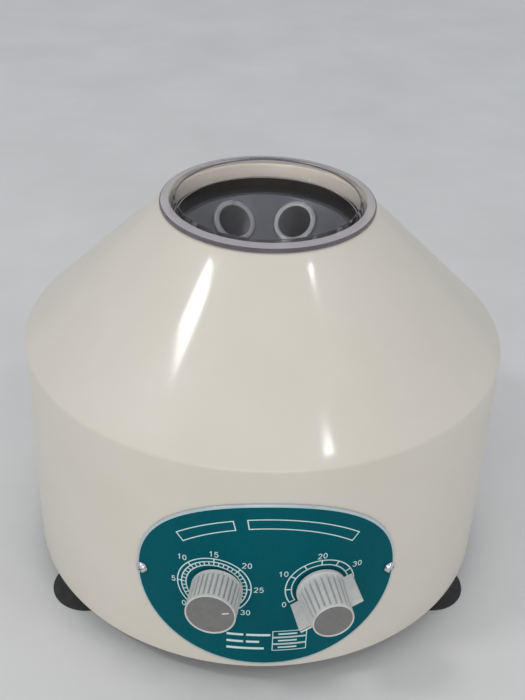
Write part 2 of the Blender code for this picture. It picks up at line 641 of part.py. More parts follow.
def make_control(name, can_name, angle, can_r, can_depth, face):
    """Rotary control behind the panel: its can and threaded bush, nut and shaft."""
    pose = outward(angle, DIAL_Z)
    back = CONTROL_FRONT - can_depth
    bore_low = back + 3 * MM
    bore = CONTROL_SHAFT_R + GAP
    can = [
        (bore, BUSH_TOP), (BUSH_R, BUSH_TOP), (BUSH_R, CONTROL_FRONT), (can_r - 1 * MM, CONTROL_FRONT),
        (can_r, CONTROL_FRONT - 1 * MM), (can_r, back), (0, back), (0, bore_low), (bore, bore_low),
    ]
    turned(can_name, can[7:] + can[:7], "bowl_steel", 24, pose)
    nut_low = CASING_R + GAP + PLATE_THICKNESS + GAP
    nut = prism(f"{name}_nut", polygon(6, 7.0 * MM), nut_low, nut_low + 1.6 * MM, "screw_chrome", pose)
    cut(nut, drill(f"{name}_nut_bore", BUSH_R + GAP, nut_low - MM, nut_low + 4 * MM, pose))
    shaft = [
        (0, face - 5 * MM), (CONTROL_SHAFT_R, face - 5 * MM), (CONTROL_SHAFT_R, bore_low + 0.6 * MM),
        (0, bore_low + 0.6 * MM),
    ]
    turned(f"{name}_shaft", shaft, "zinc_steel", 16, pose)


def hollow_knob(knob, name, face, pose):
    """Cuts the shaft bore and the recess over the nut into the back of a knob."""
    bore_r = CONTROL_SHAFT_R + GAP
    bore = [
        (0, face - 4.6 * MM), (bore_r, face - 4.6 * MM), (bore_r, KNOB_BACK + 3.5 * MM),
        (8.6 * MM, KNOB_BACK + 3.5 * MM), (8.6 * MM, KNOB_BACK - 2 * MM), (0, KNOB_BACK - 2 * MM),
    ]
    cut(knob, turned(f"{name}_hollow", bore, None, 12, pose))


def make_timer_knob():
    """Ribbed round knob with a raised edge round its face."""
    pose = outward(TIMER_ANGLE, DIAL_Z)
    outline = toothed_outline(20, 13.2 * MM, 12.75 * MM)
    knob = prism("timer_knob", outline, KNOB_BACK, TIMER_FACE - 0.6 * MM, "knob_plastic", pose, 0.965)
    disc = [
        (0, TIMER_FACE - 0.4 * MM), (11.8 * MM, TIMER_FACE - 0.4 * MM), (12.3 * MM, TIMER_FACE),
        (12.8 * MM, TIMER_FACE - 0.4 * MM), (12.8 * MM, TIMER_FACE - 1.6 * MM), (0, TIMER_FACE - 1.6 * MM),
    ]
    join(knob, turned("timer_face", disc, None, 24, pose))
    hollow_knob(knob, "timer", TIMER_FACE, pose)


def make_speed_knob():
    """Ribbed knob with a flange and two flat finger wings, the lower left one for pointing."""
    pose = outward(SPEED_ANGLE, DIAL_Z)
    flange_top = KNOB_BACK + 2.2 * MM
    wing_top = CASING_R + 21.0 * MM
    flange = [
        (0, flange_top), (12.7 * MM, flange_top), (13.1 * MM, flange_top - 0.5 * MM),
        (13.1 * MM, KNOB_BACK), (0, KNOB_BACK),
    ]
    knob = turned("speed_knob", flange, "knob_plastic", 24, pose)
    core_low, core_high = flange_top - 0.5 * MM, SPEED_FACE - 0.5 * MM
    core = prism_bmesh(toothed_outline(16, 12.0 * MM, 11.5 * MM), core_low, core_high, 0.88)
    face = [
        (0, SPEED_FACE - 0.3 * MM), (9.5 * MM, SPEED_FACE - 0.3 * MM), (9.9 * MM, SPEED_FACE),
        (10.4 * MM, SPEED_FACE - 0.4 * MM), (10.4 * MM, SPEED_FACE - 1.8 * MM), (0, SPEED_FACE - 1.8 * MM),
    ]
    turned_pose = pose @ Matrix.Rotation(WING_ANGLE, 4, "Z")
    wings = block("knob_wings", box_outline(34 * MM, 2.6 * MM), flange_top - 0.4 * MM, wing_top, turned_pose)
    join(knob, keep("knob_core", core, None, pose), turned("speed_face", face, None, 24, pose), wings)
    hollow_knob(knob, "speed", SPEED_FACE, pose)


def make_control_board():
    """Speed regulator board on a folded bracket, with its heat sink."""
    place = Matrix.Translation((-86 * MM, 0, 0))
    board_z = 27 * MM
    board_outline = box_outline(36 * MM, 62 * MM)
    board = prism("control_board", board_outline, board_z, board_z + 1.6 * MM, "circuit_board", place)
    capacitor_place = place @ Matrix.Translation((9 * MM, 20 * MM, 0))
    capacitor = drill("capacitor", 6 * MM, board_z + MM, board_z + 16 * MM, capacitor_place)
    relay_outline = box_outline(14 * MM, 18 * MM, 8 * MM, -18 * MM)
    relay = block("relay", relay_outline, board_z + MM, board_z + 13 * MM, place)
    join(board, capacitor, relay)
    sink_z = board_z + 1.6 * MM + GAP
    fins = [(-18 * MM, -12 * MM)]
    for fin in range(5):
        low = -12 * MM + 5.5 * MM * fin
        fins += [
            (-4 * MM, low), (-4 * MM, low + 2 * MM), (-15 * MM, low + 2 * MM), (-15 * MM, low + 5.5 * MM),
        ]
    fins = fins[:-1] + [(-18 * MM, 12 * MM)]
    prism("heat_sink", fins, sink_z, sink_z + 18 * MM, "cast_alloy", place)
    low, high = BASE_TOP_Z + GAP, board_z - GAP
    bracket = prism("board_bracket", box_outline(28 * MM, 50 * MM), low, high, "zinc_steel", place)
    hollow = block("bracket_hollow", box_outline(60 * MM, 47 * MM), low + 1.5 * MM, high - 1.5 * MM, place)
    cut(bracket, hollow)


def make_power_inlet():
    """Three-pin mains inlet: a flanged body with its socket and pins."""
    pose = outward(REAR, INLET_Z)
    back = CASING_R - 22 * MM
    seat = CASING_R + GAP
    floor = INLET_FACE - 16 * MM
    inlet = prism("power_inlet", box_outline(*INLET_FLANGE), seat, INLET_FACE, "black_plastic", pose)
    body = block("inlet_body", box_outline(*INLET_BODY), back, seat + 0.5 * MM, pose)
    join(inlet, body)
    cut(inlet, block("inlet_socket", box_outline(*INLET_SOCKET), floor, INLET_FACE + 2 * MM, pose))
    for number, (x, y) in enumerate(((-7 * MM, -2.5 * MM), (0, 2.5 * MM), (7 * MM, -2.5 * MM))):
        pin = box_outline(2 * MM, 4 * MM, x, y)
        join(inlet, block(f"inlet_pin_{number}", pin, floor - 1 * MM, INLET_FACE - 5.2 * MM, pose))


def make_fuse_holder():
    """Panel fuse holder and its bayonet cap."""
    pose = outward(FUSE_ANGLE, INLET_Z)
    seat = CASING_R + GAP
    flange_top = seat + 1.6 * MM
    back = CASING_R - 26 * MM
    holder = [
        (4.4 * MM, flange_top), (8.2 * MM, flange_top), (8.2 * MM, seat),
        (6.0 * MM, seat), (6.0 * MM, back), (0, back),
        (0, back + 2 * MM), (4.4 * MM, back + 2 * MM),
    ]
    turned("fuse_holder", holder[6:] + holder[:6], "black_plastic", 20, pose)
    low = flange_top + GAP
    cap = [
        (0, low + 3.4 * MM), (6.2 * MM, low + 3.4 * MM), (7.0 * MM, low + 2.6 * MM),
        (7.0 * MM, low), (4.1 * MM, low),
        (4.1 * MM, low - 9 * MM), (0, low - 9 * MM),
    ]
    knob = turned("fuse_cap", cap, "black_plastic", 20, pose)
    cut(knob, block("fuse_slot", box_outline(9 * MM, 1.4 * MM), low + 2.2 * MM, low + 6 * MM, pose))


def smooth_route(points, per_span):
    """Points of a smooth curve through a lead's route."""
    ends = [points[0] * 2 - points[1], *points, points[-1] * 2 - points[-2]]
    route = []
    for a, b, c, d in zip(ends, ends[1:], ends[2:], ends[3:]):
        for step in range(per_span):
            t = step / per_span
            bend = 2 * a - 5 * b + 4 * c - d
            twist = 3 * b - a - 3 * c + d
            route.append(0.5 * (2 * b + (c - a) * t + bend * t**2 + twist * t**3))
    return route + [points[-1]]


def make_lead(name, radius, places):
    """A wire held at both ends, as a round tube along its route."""
    route = smooth_route([Vector(place) * MM for place in places], 3)
    curve = bpy.data.curves.new(name, "CURVE")
    curve.dimensions = "3D"
    curve.bevel_depth = radius
    curve.bevel_resolution = 2
    curve.use_fill_caps = True
    line = curve.splines.new("POLY")
    line.points.add(len(route) - 1)
    for point, place in zip(line.points, route):
        point.co = (*place, 1.0)
    obj = bpy.data.objects.new(name, curve)
    bpy.context.scene.collection.objects.link(obj)
    obj.parent = AXIS
    curve.materials.append(FINISH["lead_sheath"])


def make_leads():
    """Inner wiring: mains to the timer, timer to the board and board to the motor."""
    make_lead("supply_lead", 2.2 * MM, [
        (3, 105, 44), (12, 97, 40), (36, 86, 26), (66, 62, 20), (88, 28, 19), (93, -12, 20), (74, -50, 25),
        (40, -70, 40), (5, -80, 58), (-13, -88, 66), (-18.2, -90, 68),
    ])
    make_lead("control_lead", 1.8 * MM, [
        (-23, -89.5, 62), (-32, -82, 55), (-48, -68, 44), (-62, -54, 36), (-70, -44, 32), (-74, -34, 30.5),
    ])
    make_lead("motor_lead", 1.8 * MM, [
        (-66, 16, 31), (-64, 16, 38), (-60, 15.5, 46), (-52, 14, 51), (-43, 13, 53),
    ])


clear_scene()
FINISH = make_materials()
AXIS = bpy.data.objects.new("spin_axis", None)
AXIS.location = (0, AXIS_Y, 0)
bpy.context.scene.collection.objects.link(AXIS)
make_casing()
make_base_plate()
make_feet()
make_guard_bowl()
make_motor_boot()
make_motor_mount()
make_motor_body()
make_bearings()
make_brushes()
make_spinning_core()
make_angle_head()
make_sleeves()
make_rotor_nut()
make_lid()
make_panel_plate()
make_plate_screws()
make_control("timer", "timer_mechanism", TIMER_ANGLE, 19 * MM, 32 * MM, TIMER_FACE)
make_control("speed", "speed_potentiometer", SPEED_ANGLE, 12 * MM, 16 * MM, SPEED_FACE)
make_timer_knob()
make_speed_knob()
make_control_board()
make_power_inlet()
make_fuse_holder()
make_leads()
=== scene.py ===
"""Looks of the benchtop laboratory centrifuge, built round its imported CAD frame.

Every visible piece is modelled finely here and stands for its plain CAD node. Pieces inside the machine keep
their CAD shape and take a better material. Lengths are in metres, written as millimetres times MM.
"""

import json
from math import asin, atan2, ceil, copysign, cos, dist, hypot, pi, radians, sin, tan

import bmesh
import bpy
from mathutils import Matrix, Vector


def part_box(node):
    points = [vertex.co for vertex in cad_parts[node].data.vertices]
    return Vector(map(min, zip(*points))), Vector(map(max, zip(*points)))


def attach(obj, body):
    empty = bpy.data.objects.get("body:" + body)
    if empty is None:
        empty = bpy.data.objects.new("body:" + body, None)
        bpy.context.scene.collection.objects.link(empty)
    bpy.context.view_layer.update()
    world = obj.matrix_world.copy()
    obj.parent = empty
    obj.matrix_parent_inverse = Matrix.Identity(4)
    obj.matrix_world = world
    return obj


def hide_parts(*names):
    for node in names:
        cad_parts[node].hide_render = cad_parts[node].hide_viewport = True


MM = 0.001
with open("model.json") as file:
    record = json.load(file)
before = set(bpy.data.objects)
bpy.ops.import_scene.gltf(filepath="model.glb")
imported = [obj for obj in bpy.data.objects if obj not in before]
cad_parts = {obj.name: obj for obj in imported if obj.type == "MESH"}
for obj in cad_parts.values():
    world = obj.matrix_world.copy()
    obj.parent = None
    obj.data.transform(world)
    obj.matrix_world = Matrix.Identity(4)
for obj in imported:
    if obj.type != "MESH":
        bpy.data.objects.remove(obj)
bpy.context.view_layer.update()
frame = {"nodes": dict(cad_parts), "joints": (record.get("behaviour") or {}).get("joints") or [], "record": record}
JOINTS = {joint["name"]: joint for joint in frame["joints"]}

# Driving dimensions, read from the frame
casing_low, casing_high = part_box("casing")
AXIS = Vector((0, (casing_low.y + casing_high.y) / 2, 0))  # foot of the spin axis
CASING_R = (casing_high.x - casing_low.x) / 2
EDGE_Z, RIM_Z = casing_low.z, casing_high.z
lid_low, lid_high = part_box("lid")
LID_R = (lid_high.x - lid_low.x) / 2
head_low, head_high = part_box("angle_head")
HEAD_R = (head_high.x - head_low.x) / 2
plate_low, plate_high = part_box("panel_plate")
PLATE_FACE_R = AXIS.y - plate_low.y
PLATE_HALF_HEIGHT = (plate_high.z - plate_low.z) / 2
PLATE_Z = (plate_high.z + plate_low.z) / 2
PLATE_HALF_WIDTH = asin(plate_high.x / PLATE_FACE_R) * CASING_R
base_low, base_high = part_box("base_plate")

# Casing
WALL = 1.6 * MM
SHOULDER_Z = EDGE_Z + 130.4 * MM
CONE_SLOPE = 1.015  # radius lost for each unit of height
COLLAR_R = 51.5 * MM
COLLAR_DEPTH = 9.5 * MM
LIP_R = 104 * MM
BUSH_HOLE_R = 5.2 * MM
SCREW_HOLE_R = 1.9 * MM
FOOT_SCREW_HOLE_R = 2.9 * MM
FUSE_HOLE_R = 6.3 * MM

# Angle head
TUBE_COUNT = 6
TUBE_TILT = radians(45)
HEAD_RIM_R = 45 * MM
MOUTH_CIRCLE_R = 34.7 * MM
MOUTH_Z = head_high.z - (HEAD_RIM_R - MOUTH_CIRCLE_R)
HUB_R = 12 * MM
HUB_TOP_Z = head_high.z - (HEAD_RIM_R - HUB_R)
SLEEVE_R = 10.2 * MM
SLEEVE_BORE_R = 9.15 * MM
SLEEVE_FLANGE_R = 12.2 * MM
SLEEVE_FLANGE = 3 * MM
SLEEVE_LENGTH = 92 * MM

# Panel
PLATE_POWER = 2.1  # exponent of the plate's rounded outline
PLATE_BORDER = 1.35 * MM
PRINT_LIFT = 0.05 * MM  # thickness of a printed layer
TIMER_POINTER = radians(15)  # where the timer knob points, from the panel's right
WING_ANGLE = radians(27)
DIAL_ARC = 26.2 * MM  # from the middle of the panel to a printed dial, along the wall

EVEN = (1, 1, 1)
FEET = ("front_left", "front_right", "rear")
SIDES = ("left", "right")
FINISH = {}  # materials by name


# ---------------- materials

def grade(tree, source, low, high):
    """Spreads a 0 to 1 signal over a range."""
    node = tree.nodes.new("ShaderNodeMapRange")
    node.inputs["From Min"].default_value = 0.3
    node.inputs["From Max"].default_value = 0.7
    node.inputs["To Min"].default_value = low
    node.inputs["To Max"].default_value = high
    tree.links.new(source, node.inputs["Value"])
    return node.outputs["Result"]


def noise(tree, scale, detail, stretch=EVEN):
    """Noise over the piece's own coordinates, with a scale in cells for each metre."""
    coordinates = tree.nodes.new("ShaderNodeTexCoord")
    mapping = tree.nodes.new("ShaderNodeMapping")
    mapping.inputs["Scale"].default_value = stretch
    texture = tree.nodes.new("ShaderNodeTexNoise")
    texture.inputs["Scale"].default_value = scale
    texture.inputs["Detail"].default_value = detail
    texture.inputs["Roughness"].default_value = 0.55
    tree.links.new(coordinates.outputs["Object"], mapping.inputs["Vector"])
    tree.links.new(mapping.outputs["Vector"], texture.inputs["Vector"])
    return texture.outputs["Fac"]


def rings(tree, scale, kind="RINGS", distortion=0.6):
    """Fine turned grooves round the piece's own Z axis, or flat bands along it."""
    coordinates = tree.nodes.new("ShaderNodeTexCoord")
    wave = tree.nodes.new("ShaderNodeTexWave")
    wave.wave_type = kind
    wave.rings_direction = wave.bands_direction = "Z"
    wave.inputs["Scale"].default_value = scale
    wave.inputs["Distortion"].default_value = distortion
    wave.inputs["Detail"].default_value = 2.0
    tree.links.new(coordinates.outputs["Object"], wave.inputs["Vector"])
    return wave.outputs["Fac"]


def blend_colours(tree, factor, first, second):
    node = tree.nodes.new("ShaderNodeMix")
    node.data_type = "RGBA"
    tree.links.new(factor, node.inputs["Factor"])
    for socket, colour in (("A", first), ("B", second)):
        target = next(s for s in node.inputs if s.name == socket and s.type == "RGBA")
        if isinstance(colour, bpy.types.NodeSocket):
            tree.links.new(colour, target)
        else:
            target.default_value = (*colour, 1.0)
    return next(s for s in node.outputs if s.type == "RGBA")


def bump(tree, shader, signal, height, strength=1.0):
    node = tree.nodes.new("ShaderNodeBump")
    node.inputs["Strength"].default_value = strength
    node.inputs["Distance"].default_value = height
    tree.links.new(signal, node.inputs["Height"])
    tree.links.new(node.outputs["Normal"], shader.inputs["Normal"])


def finish(name, dark, light, roughness, metallic, scale, grain=None, stretch=EVEN, **sockets):
    """A finish whose colour and roughness each vary between two values.

    scale and stretch shape the variation. grain is the scale and height of a fine relief, then any stretch.
    """
    made = bpy.data.materials.new(name)
    made.use_nodes = True
    tree = made.node_tree
    shader = tree.nodes["Principled BSDF"]
    broad = noise(tree, scale, 4.0, stretch)
    colour = blend_colours(tree, grade(tree, broad, 0.0, 1.0), dark, light)
    tree.links.new(colour, shader.inputs["Base Color"])
    fine = noise(tree, scale * 6, 3.0, stretch)
    tree.links.new(grade(tree, fine, roughness[0], roughness[1]), shader.inputs["Roughness"])
    shader.inputs["Metallic"].default_value = metallic
    for socket, value in sockets.items():
        shader.inputs[socket.replace("_", " ")].default_value = value
    if grain:
        grain_scale, height, *grain_stretch = grain
        bump(tree, shader, noise(tree, grain_scale, 2.0, *grain_stretch), height)
    FINISH[name] = made
    return tree, shader


def make_finishes():
    finish("casing_paint", (0.685, 0.645, 0.55), (0.715, 0.675, 0.585), (0.42, 0.5), 0.0, 22,
           (900, 0.004 * MM), Coat_Weight=0.5, Coat_Roughness=0.1)
    # Inner faces of the casing: dark brown painted shade, where little light reaches behind the wall.
    finish("casing_inside_painted_shade", (0.085, 0.076, 0.058), (0.13, 0.117, 0.092), (0.5, 0.7), 0.0, 90, (1500, 0.01 * MM))
    make_panel_print()
    finish("panel_metal", (0.50, 0.60, 0.65), (0.60, 0.69, 0.73), (0.3, 0.38), 0.45, 120, stretch=(1, 1, 0.06))
    finish("scale_print", (0.62, 0.80, 0.80), (0.72, 0.88, 0.87), (0.35, 0.5), 0.0, 500)
    finish("knob_side", (0.56, 0.56, 0.54), (0.66, 0.66, 0.635), (0.36, 0.5), 0.0, 160, (2600, 0.006 * MM))
    finish("knob_face", (0.175, 0.175, 0.168), (0.21, 0.208, 0.198), (0.3, 0.42), 0.15, 260, (4200, 0.004 * MM))
    # Groove bottoms: the knob's grey darkened as painted shade.
    finish("knob_groove_painted_shade", (0.36, 0.36, 0.35), (0.43, 0.43, 0.42), (0.45, 0.6), 0.0, 160)
    finish("pointer_paint", (0.80, 0.79, 0.75), (0.90, 0.89, 0.85), (0.35, 0.5), 0.0, 800)
    finish("foot_rubber", (0.010, 0.010, 0.011), (0.022, 0.022, 0.022), (0.55, 0.8), 0.0, 120,
           (2200, 0.015 * MM))
    finish("zinc_steel", (0.42, 0.43, 0.44), (0.60, 0.61, 0.62), (0.25, 0.42), 1.0, 240, (1800, 0.004 * MM))
    finish("base_steel", (0.012, 0.012, 0.012), (0.024, 0.024, 0.023), (0.35, 0.55), 0.0, 150,
           (2400, 0.012 * MM))
    finish("nut_steel", (0.13, 0.13, 0.135), (0.2, 0.2, 0.205), (0.3, 0.42), 1.0, 240)
    finish("chrome_fasteners", (0.62, 0.63, 0.65), (0.78, 0.79, 0.81), (0.08, 0.18), 1.0, 300)
    # Steel of the guard bowl. Its warm brown tint is a painted reflection of brown surroundings.
    finish("bowl_steel", (0.26, 0.24, 0.19), (0.36, 0.335, 0.27), (0.35, 0.5), 0.8, 70,
           (900, 0.006 * MM, (1, 1, 6)))
    finish("motor_alloy", (0.32, 0.33, 0.34), (0.46, 0.47, 0.48), (0.42, 0.6), 0.85, 140, (1300, 0.03 * MM))
    finish("motor_paint", (0.055, 0.06, 0.065), (0.085, 0.09, 0.097), (0.35, 0.5), 0.0, 90, (1500, 0.012 * MM))
    finish("carbon", (0.012, 0.012, 0.012), (0.03, 0.03, 0.03), (0.5, 0.75), 0.0, 700, (3000, 0.01 * MM))
    finish("black_plastic", (0.012, 0.012, 0.013), (0.022, 0.022, 0.023), (0.28, 0.42), 0.0, 160,
           (2600, 0.008 * MM))
    finish("circuit_board", (0.012, 0.10, 0.035), (0.02, 0.15, 0.055), (0.25, 0.4), 0.0, 420, (1600, 0.02 * MM))
    finish("lead_sheath", (0.018, 0.018, 0.02), (0.035, 0.035, 0.038), (0.4, 0.6), 0.0, 200, (1800, 0.01 * MM))
    finish("bearing_steel", (0.5, 0.51, 0.53), (0.68, 0.69, 0.71), (0.12, 0.25), 1.0, 260)
    make_grooved_finishes()
    make_clear_plastic()
    finish("sleeve_plastic", (0.25, 0.255, 0.265), (0.275, 0.28, 0.29), (0.25, 0.34), 0.0, 30,
           Transmission_Weight=0.1, IOR=1.49)
    # Inside of the sleeves: darker grey as painted shade deep in the bores.
    finish("sleeve_bore_painted_shade", (0.15, 0.152, 0.158), (0.19, 0.192, 0.198), (0.3, 0.42), 0.0, 80)
    finish("floor", (0.70, 0.70, 0.69), (0.76, 0.76, 0.75), (0.55, 0.75), 0.0, 9, (420, 0.02 * MM))


def make_panel_print():
    """Deep teal print with a very fine speckle and faint upright streaks."""
    tree, shader = finish(
        "panel_print", (0.0, 0.090, 0.114), (0.0, 0.104, 0.130), (0.3, 0.42), 0.0, 40,
        stretch=(1, 1, 0.2), Specular_IOR_Level=0.03, Coat_Weight=0.01, Coat_Roughness=0.1,
    )
    base = shader.inputs["Base Color"].links[0].from_socket
    flakes = grade(tree, noise(tree, 2400, 1.0), -1.9, 1.0)
    streaks = grade(tree, noise(tree, 90, 2.0, (1, 1, 0.05)), -0.8, 0.5)
    lightened = blend_colours(tree, clamp(tree, streaks, 0.2), base, (0.006, 0.10, 0.12))
    speckled = blend_colours(tree, clamp(tree, flakes, 0.2), lightened, (0.03, 0.17, 0.19))
    tree.links.new(speckled, shader.inputs["Base Color"])


def clamp(tree, signal, most):
    """Keeps a signal between 0 and a highest value."""
    node = tree.nodes.new("ShaderNodeClamp")
    node.inputs["Max"].default_value = most
    tree.links.new(signal, node.inputs["Value"])
    return node.outputs["Result"]


def make_grooved_finishes():
    """Blue-grey anodised alloy with the fine grooves of a lathe, stacked laminations and copper bars."""
    tree, shader = finish(
        "head_alloy", (0.072, 0.076, 0.087), (0.094, 0.099, 0.112), (0.3, 0.42), 0.45, 60,
        Coat_Weight=0.2, Coat_Roughness=0.2,
    )
    bump(tree, shader, rings(tree, 420), 0.004 * MM)
    tree, shader = finish(
        "laminations", (0.06, 0.055, 0.05), (0.13, 0.12, 0.11), (0.4, 0.6), 0.7, 300, stretch=(0.05, 0.05, 3),
    )
    bump(tree, shader, rings(tree, 300, "BANDS", 0.0), 0.08 * MM)
    tree, shader = finish(
        "copper", (0.42, 0.16, 0.07), (0.62, 0.27, 0.13), (0.25, 0.4), 1.0, 260, stretch=(1, 1, 0.1),
    )
    bump(tree, shader, noise(tree, 900, 1.0, (1, 1, 0.02)), 0.05 * MM)


def make_clear_plastic():
    """Clear acrylic with a faint violet tint: the well, the moulded rim and its inner slope, with dark painted
    shade on the cut edges.
    """
    finish("clear_lid", (0.955, 0.945, 0.955), (0.98, 0.97, 0.98), (0.02, 0.05), 0.0, 40,
           Transmission_Weight=1.0, IOR=1.04, Coat_Weight=0.25, Coat_Roughness=0.03)
    finish("lid_flange", (0.53, 0.505, 0.515), (0.58, 0.555, 0.565), (0.06, 0.1), 0.0, 60,
           Transmission_Weight=0.3, IOR=1.04, Coat_Weight=0.25, Coat_Roughness=0.08)
    finish("lid_inner", (0.52, 0.51, 0.51), (0.58, 0.57, 0.57), (0.03, 0.06), 0.0, 40,
           Transmission_Weight=1.0, IOR=1.04, Coat_Weight=0.15, Coat_Roughness=0.05)
    # Cut edges: dark violet painted shade, standing in for the dark lines that refraction gives at the edges.
    finish("lid_edge_painted_shade", (0.12, 0.105, 0.125), (0.17, 0.15, 0.175), (0.15, 0.25), 0.0, 60,
           Transmission_Weight=0.3, IOR=1.3)


# ---------------- mesh building

def place(name, source, finishes, pose=None, sharp=32):
    """Turns a bmesh into an object, with smooth faces between sharp edges."""
    bmesh.ops.remove_doubles(source, verts=source.verts, dist=1e-7)
    bmesh.ops.recalc_face_normals(source, faces=source.faces)
    mesh = bpy.data.meshes.new(name)
    source.to_mesh(mesh)
    source.free()
    mesh.shade_smooth()
    mesh.set_sharp_from_angle(angle=radians(sharp))
    for entry in finishes:
        mesh.materials.append(FINISH[entry])
    obj = bpy.data.objects.new(name, mesh)
    bpy.context.scene.collection.objects.link(obj)
    if pose is not None:
        obj.matrix_world = pose
    return obj


def settle(obj, body, slot, *nodes):
    """Puts a piece on its CAD body and hides the nodes it stands for. The slot argument is not used."""
    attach(obj, body)
    if nodes:
        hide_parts(*nodes)
    return obj


def upright(angle=0.0, radius=0.0, height=0.0):
    """Upright pose at an angle from the front, counted towards the panel's right."""
    turn = Matrix.Translation(AXIS) @ Matrix.Rotation(angle, 4, "Z")
    return turn @ Matrix.Translation((0, -radius, height))


def outward(angle, height):
    """Pose on the casing's wall: +Z radially out, +X to the right of who looks at it, +Y up."""
    return upright(angle, CASING_R, height) @ Matrix.Rotation(pi / 2, 4, "X")


def control_pose(joint_name):
    """Pose of a control: on the casing's wall, along its joint's axis."""
    joint = JOINTS[joint_name]
    spot = Vector(joint["pos_m"]) - AXIS
    return outward(atan2(spot.x, -spot.y), spot.z)


def span(node, pose):
    """Lowest and highest corner of a CAD node in a pose's own frame."""
    inverse = pose.inverted()
    points = [inverse @ vertex.co for vertex in frame["nodes"][node].data.vertices]
    axes = list(zip(*points))
    return Vector([min(axis) for axis in axes]), Vector([max(axis) for axis in axes])


def rounded(corners, steps=4, closed=True):
    """Profile points from (x, y, fillet) corners, with the fillet's radius in millimetres."""
    points = []
    most = 0.48  # share of a side that one fillet may take
    count = len(corners)
    for index, (x, y, radius) in enumerate(corners):
        here = Vector((x, y))
        open_end = not closed and index in (0, count - 1)
        if radius == 0 or open_end:
            points.append((x, y))
            continue
        before = Vector(corners[index - 1][:2]) - here
        after = Vector(corners[(index + 1) % count][:2]) - here
        half = before.angle(after) / 2
        reach = min(radius * MM / tan(half), before.length * most, after.length * most)
        radius = reach * tan(half)
        centre = here + (before.normalized() + after.normalized()).normalized() * (radius / sin(half))
        start = here + before.normalized() * reach - centre
        end = here + after.normalized() * reach - centre
        sweep = start.angle_signed(end)
        for step in range(steps + 1):
            points.append(tuple(centre + Matrix.Rotation(-sweep * step / steps, 2) @ start))
    return points


def divided(points, longest, closed=True):
    """Splits the long stretches of a profile, so that its faces stay compact."""
    result = []
    following = points[1:] + points[:1] if closed else points[1:]
    for (ax, ay), (bx, by) in zip(points, following):
        pieces = max(1, ceil(hypot(bx - ax, by - ay) / longest))
        result += [(ax + (bx - ax) * k / pieces, ay + (by - ay) * k / pieces) for k in range(pieces)]
    return result if closed else result + [points[-1]]


def revolved(profile, segments, wobble=None):
    """A profile of (radius, height) spun round Z. It is closed, or starts and ends on the axis.

    wobble gives another radius for a turn, radius and height, for ribs.
    """
    made = bmesh.new()
    rows = []
    for radius, height in profile:
        if radius < 1e-9:
            rows.append([made.verts.new((0, 0, height))] * segments)
            continue
        row = []
        for step in range(segments):
            turn = 2 * pi * step / segments
            reach = wobble(turn, radius, height) if wobble else radius
            row.append(made.verts.new((reach * cos(turn), reach * sin(turn), height)))
        rows.append(row)
    closed = profile[0][0] > 1e-9 or profile[-1][0] > 1e-9
    pairs = list(zip(rows, rows[1:] + rows[:1] if closed else rows[1:]))
    for lower, upper in pairs:
        for step in range(segments):
            after = (step + 1) % segments
            corners = [lower[step], lower[after], upper[after], upper[step]]
            unique = [corner for index, corner in enumerate(corners) if corner not in corners[:index]]
            if len(unique) > 2:
                made.faces.new(unique)
    return made


def prism(outline, low, high):
    """A flat outline given thickness along Z."""
    made = bmesh.new()
    bottom = [made.verts.new((x, y, low)) for x, y in outline]
    top = [made.verts.new((x, y, high)) for x, y in outline]
    made.faces.new(bottom[::-1])
    made.faces.new(top)
    for index in range(len(outline)):
        after = (index + 1) % len(outline)
        made.faces.new((bottom[index], bottom[after], top[after], top[index]))
    return made


def box_outline(width, height, x=0.0, y=0.0):
    return [(x + i * width / 2, y + j * height / 2) for i, j in ((-1, -1), (1, -1), (1, 1), (-1, 1))]


def polygon(sides, radius, turn=0.0):
    steps = [turn + 2 * pi * step / sides for step in range(sides)]
    return [(radius * cos(step), radius * sin(step)) for step in steps]


def softened(source, width, segments=2):
    """Bevels every sharp edge."""
    edges = [edge for edge in source.edges if edge.calc_face_angle(0) > radians(40)]
    bmesh.ops.bevel(
        source, geom=edges, offset=width, segments=segments, profile=0.5, affect="EDGES", clamp_overlap=True,
    )
    return source


def cutter(source, pose=None):
    """A helper for Booleans, removed once it is used."""
    return place("cutter", source, (), pose)


def drill(radius, low, high, pose):
    """Round cutter, turned a little so that none of its corners meets another piece's corner."""
    return cutter(prism(polygon(48, radius, 0.013), low, high), pose)


def combine(target, helpers, operation="DIFFERENCE", sharp=32):
    """Applies Booleans to a piece and clears the helpers away."""
    for helper in helpers:
        modifier = target.modifiers.new("boolean", "BOOLEAN")
        modifier.operation = operation
        modifier.solver = "EXACT"
        modifier.object = helper
    bpy.context.view_layer.update()
    graph = bpy.context.evaluated_depsgraph_get()
    mesh = bpy.data.meshes.new_from_object(target.evaluated_get(graph))
    target.modifiers.clear()
    target.data = mesh
    mesh.shade_smooth()
    mesh.set_sharp_from_angle(angle=radians(sharp))
    for helper in helpers:
        bpy.data.objects.remove(helper, do_unlink=True)


# ---------------- casing and base

def cone_radius(height, inset=0.0):
    return CASING_R - CONE_SLOPE * (height - SHOULDER_Z) - inset * hypot(1.0, CONE_SLOPE)


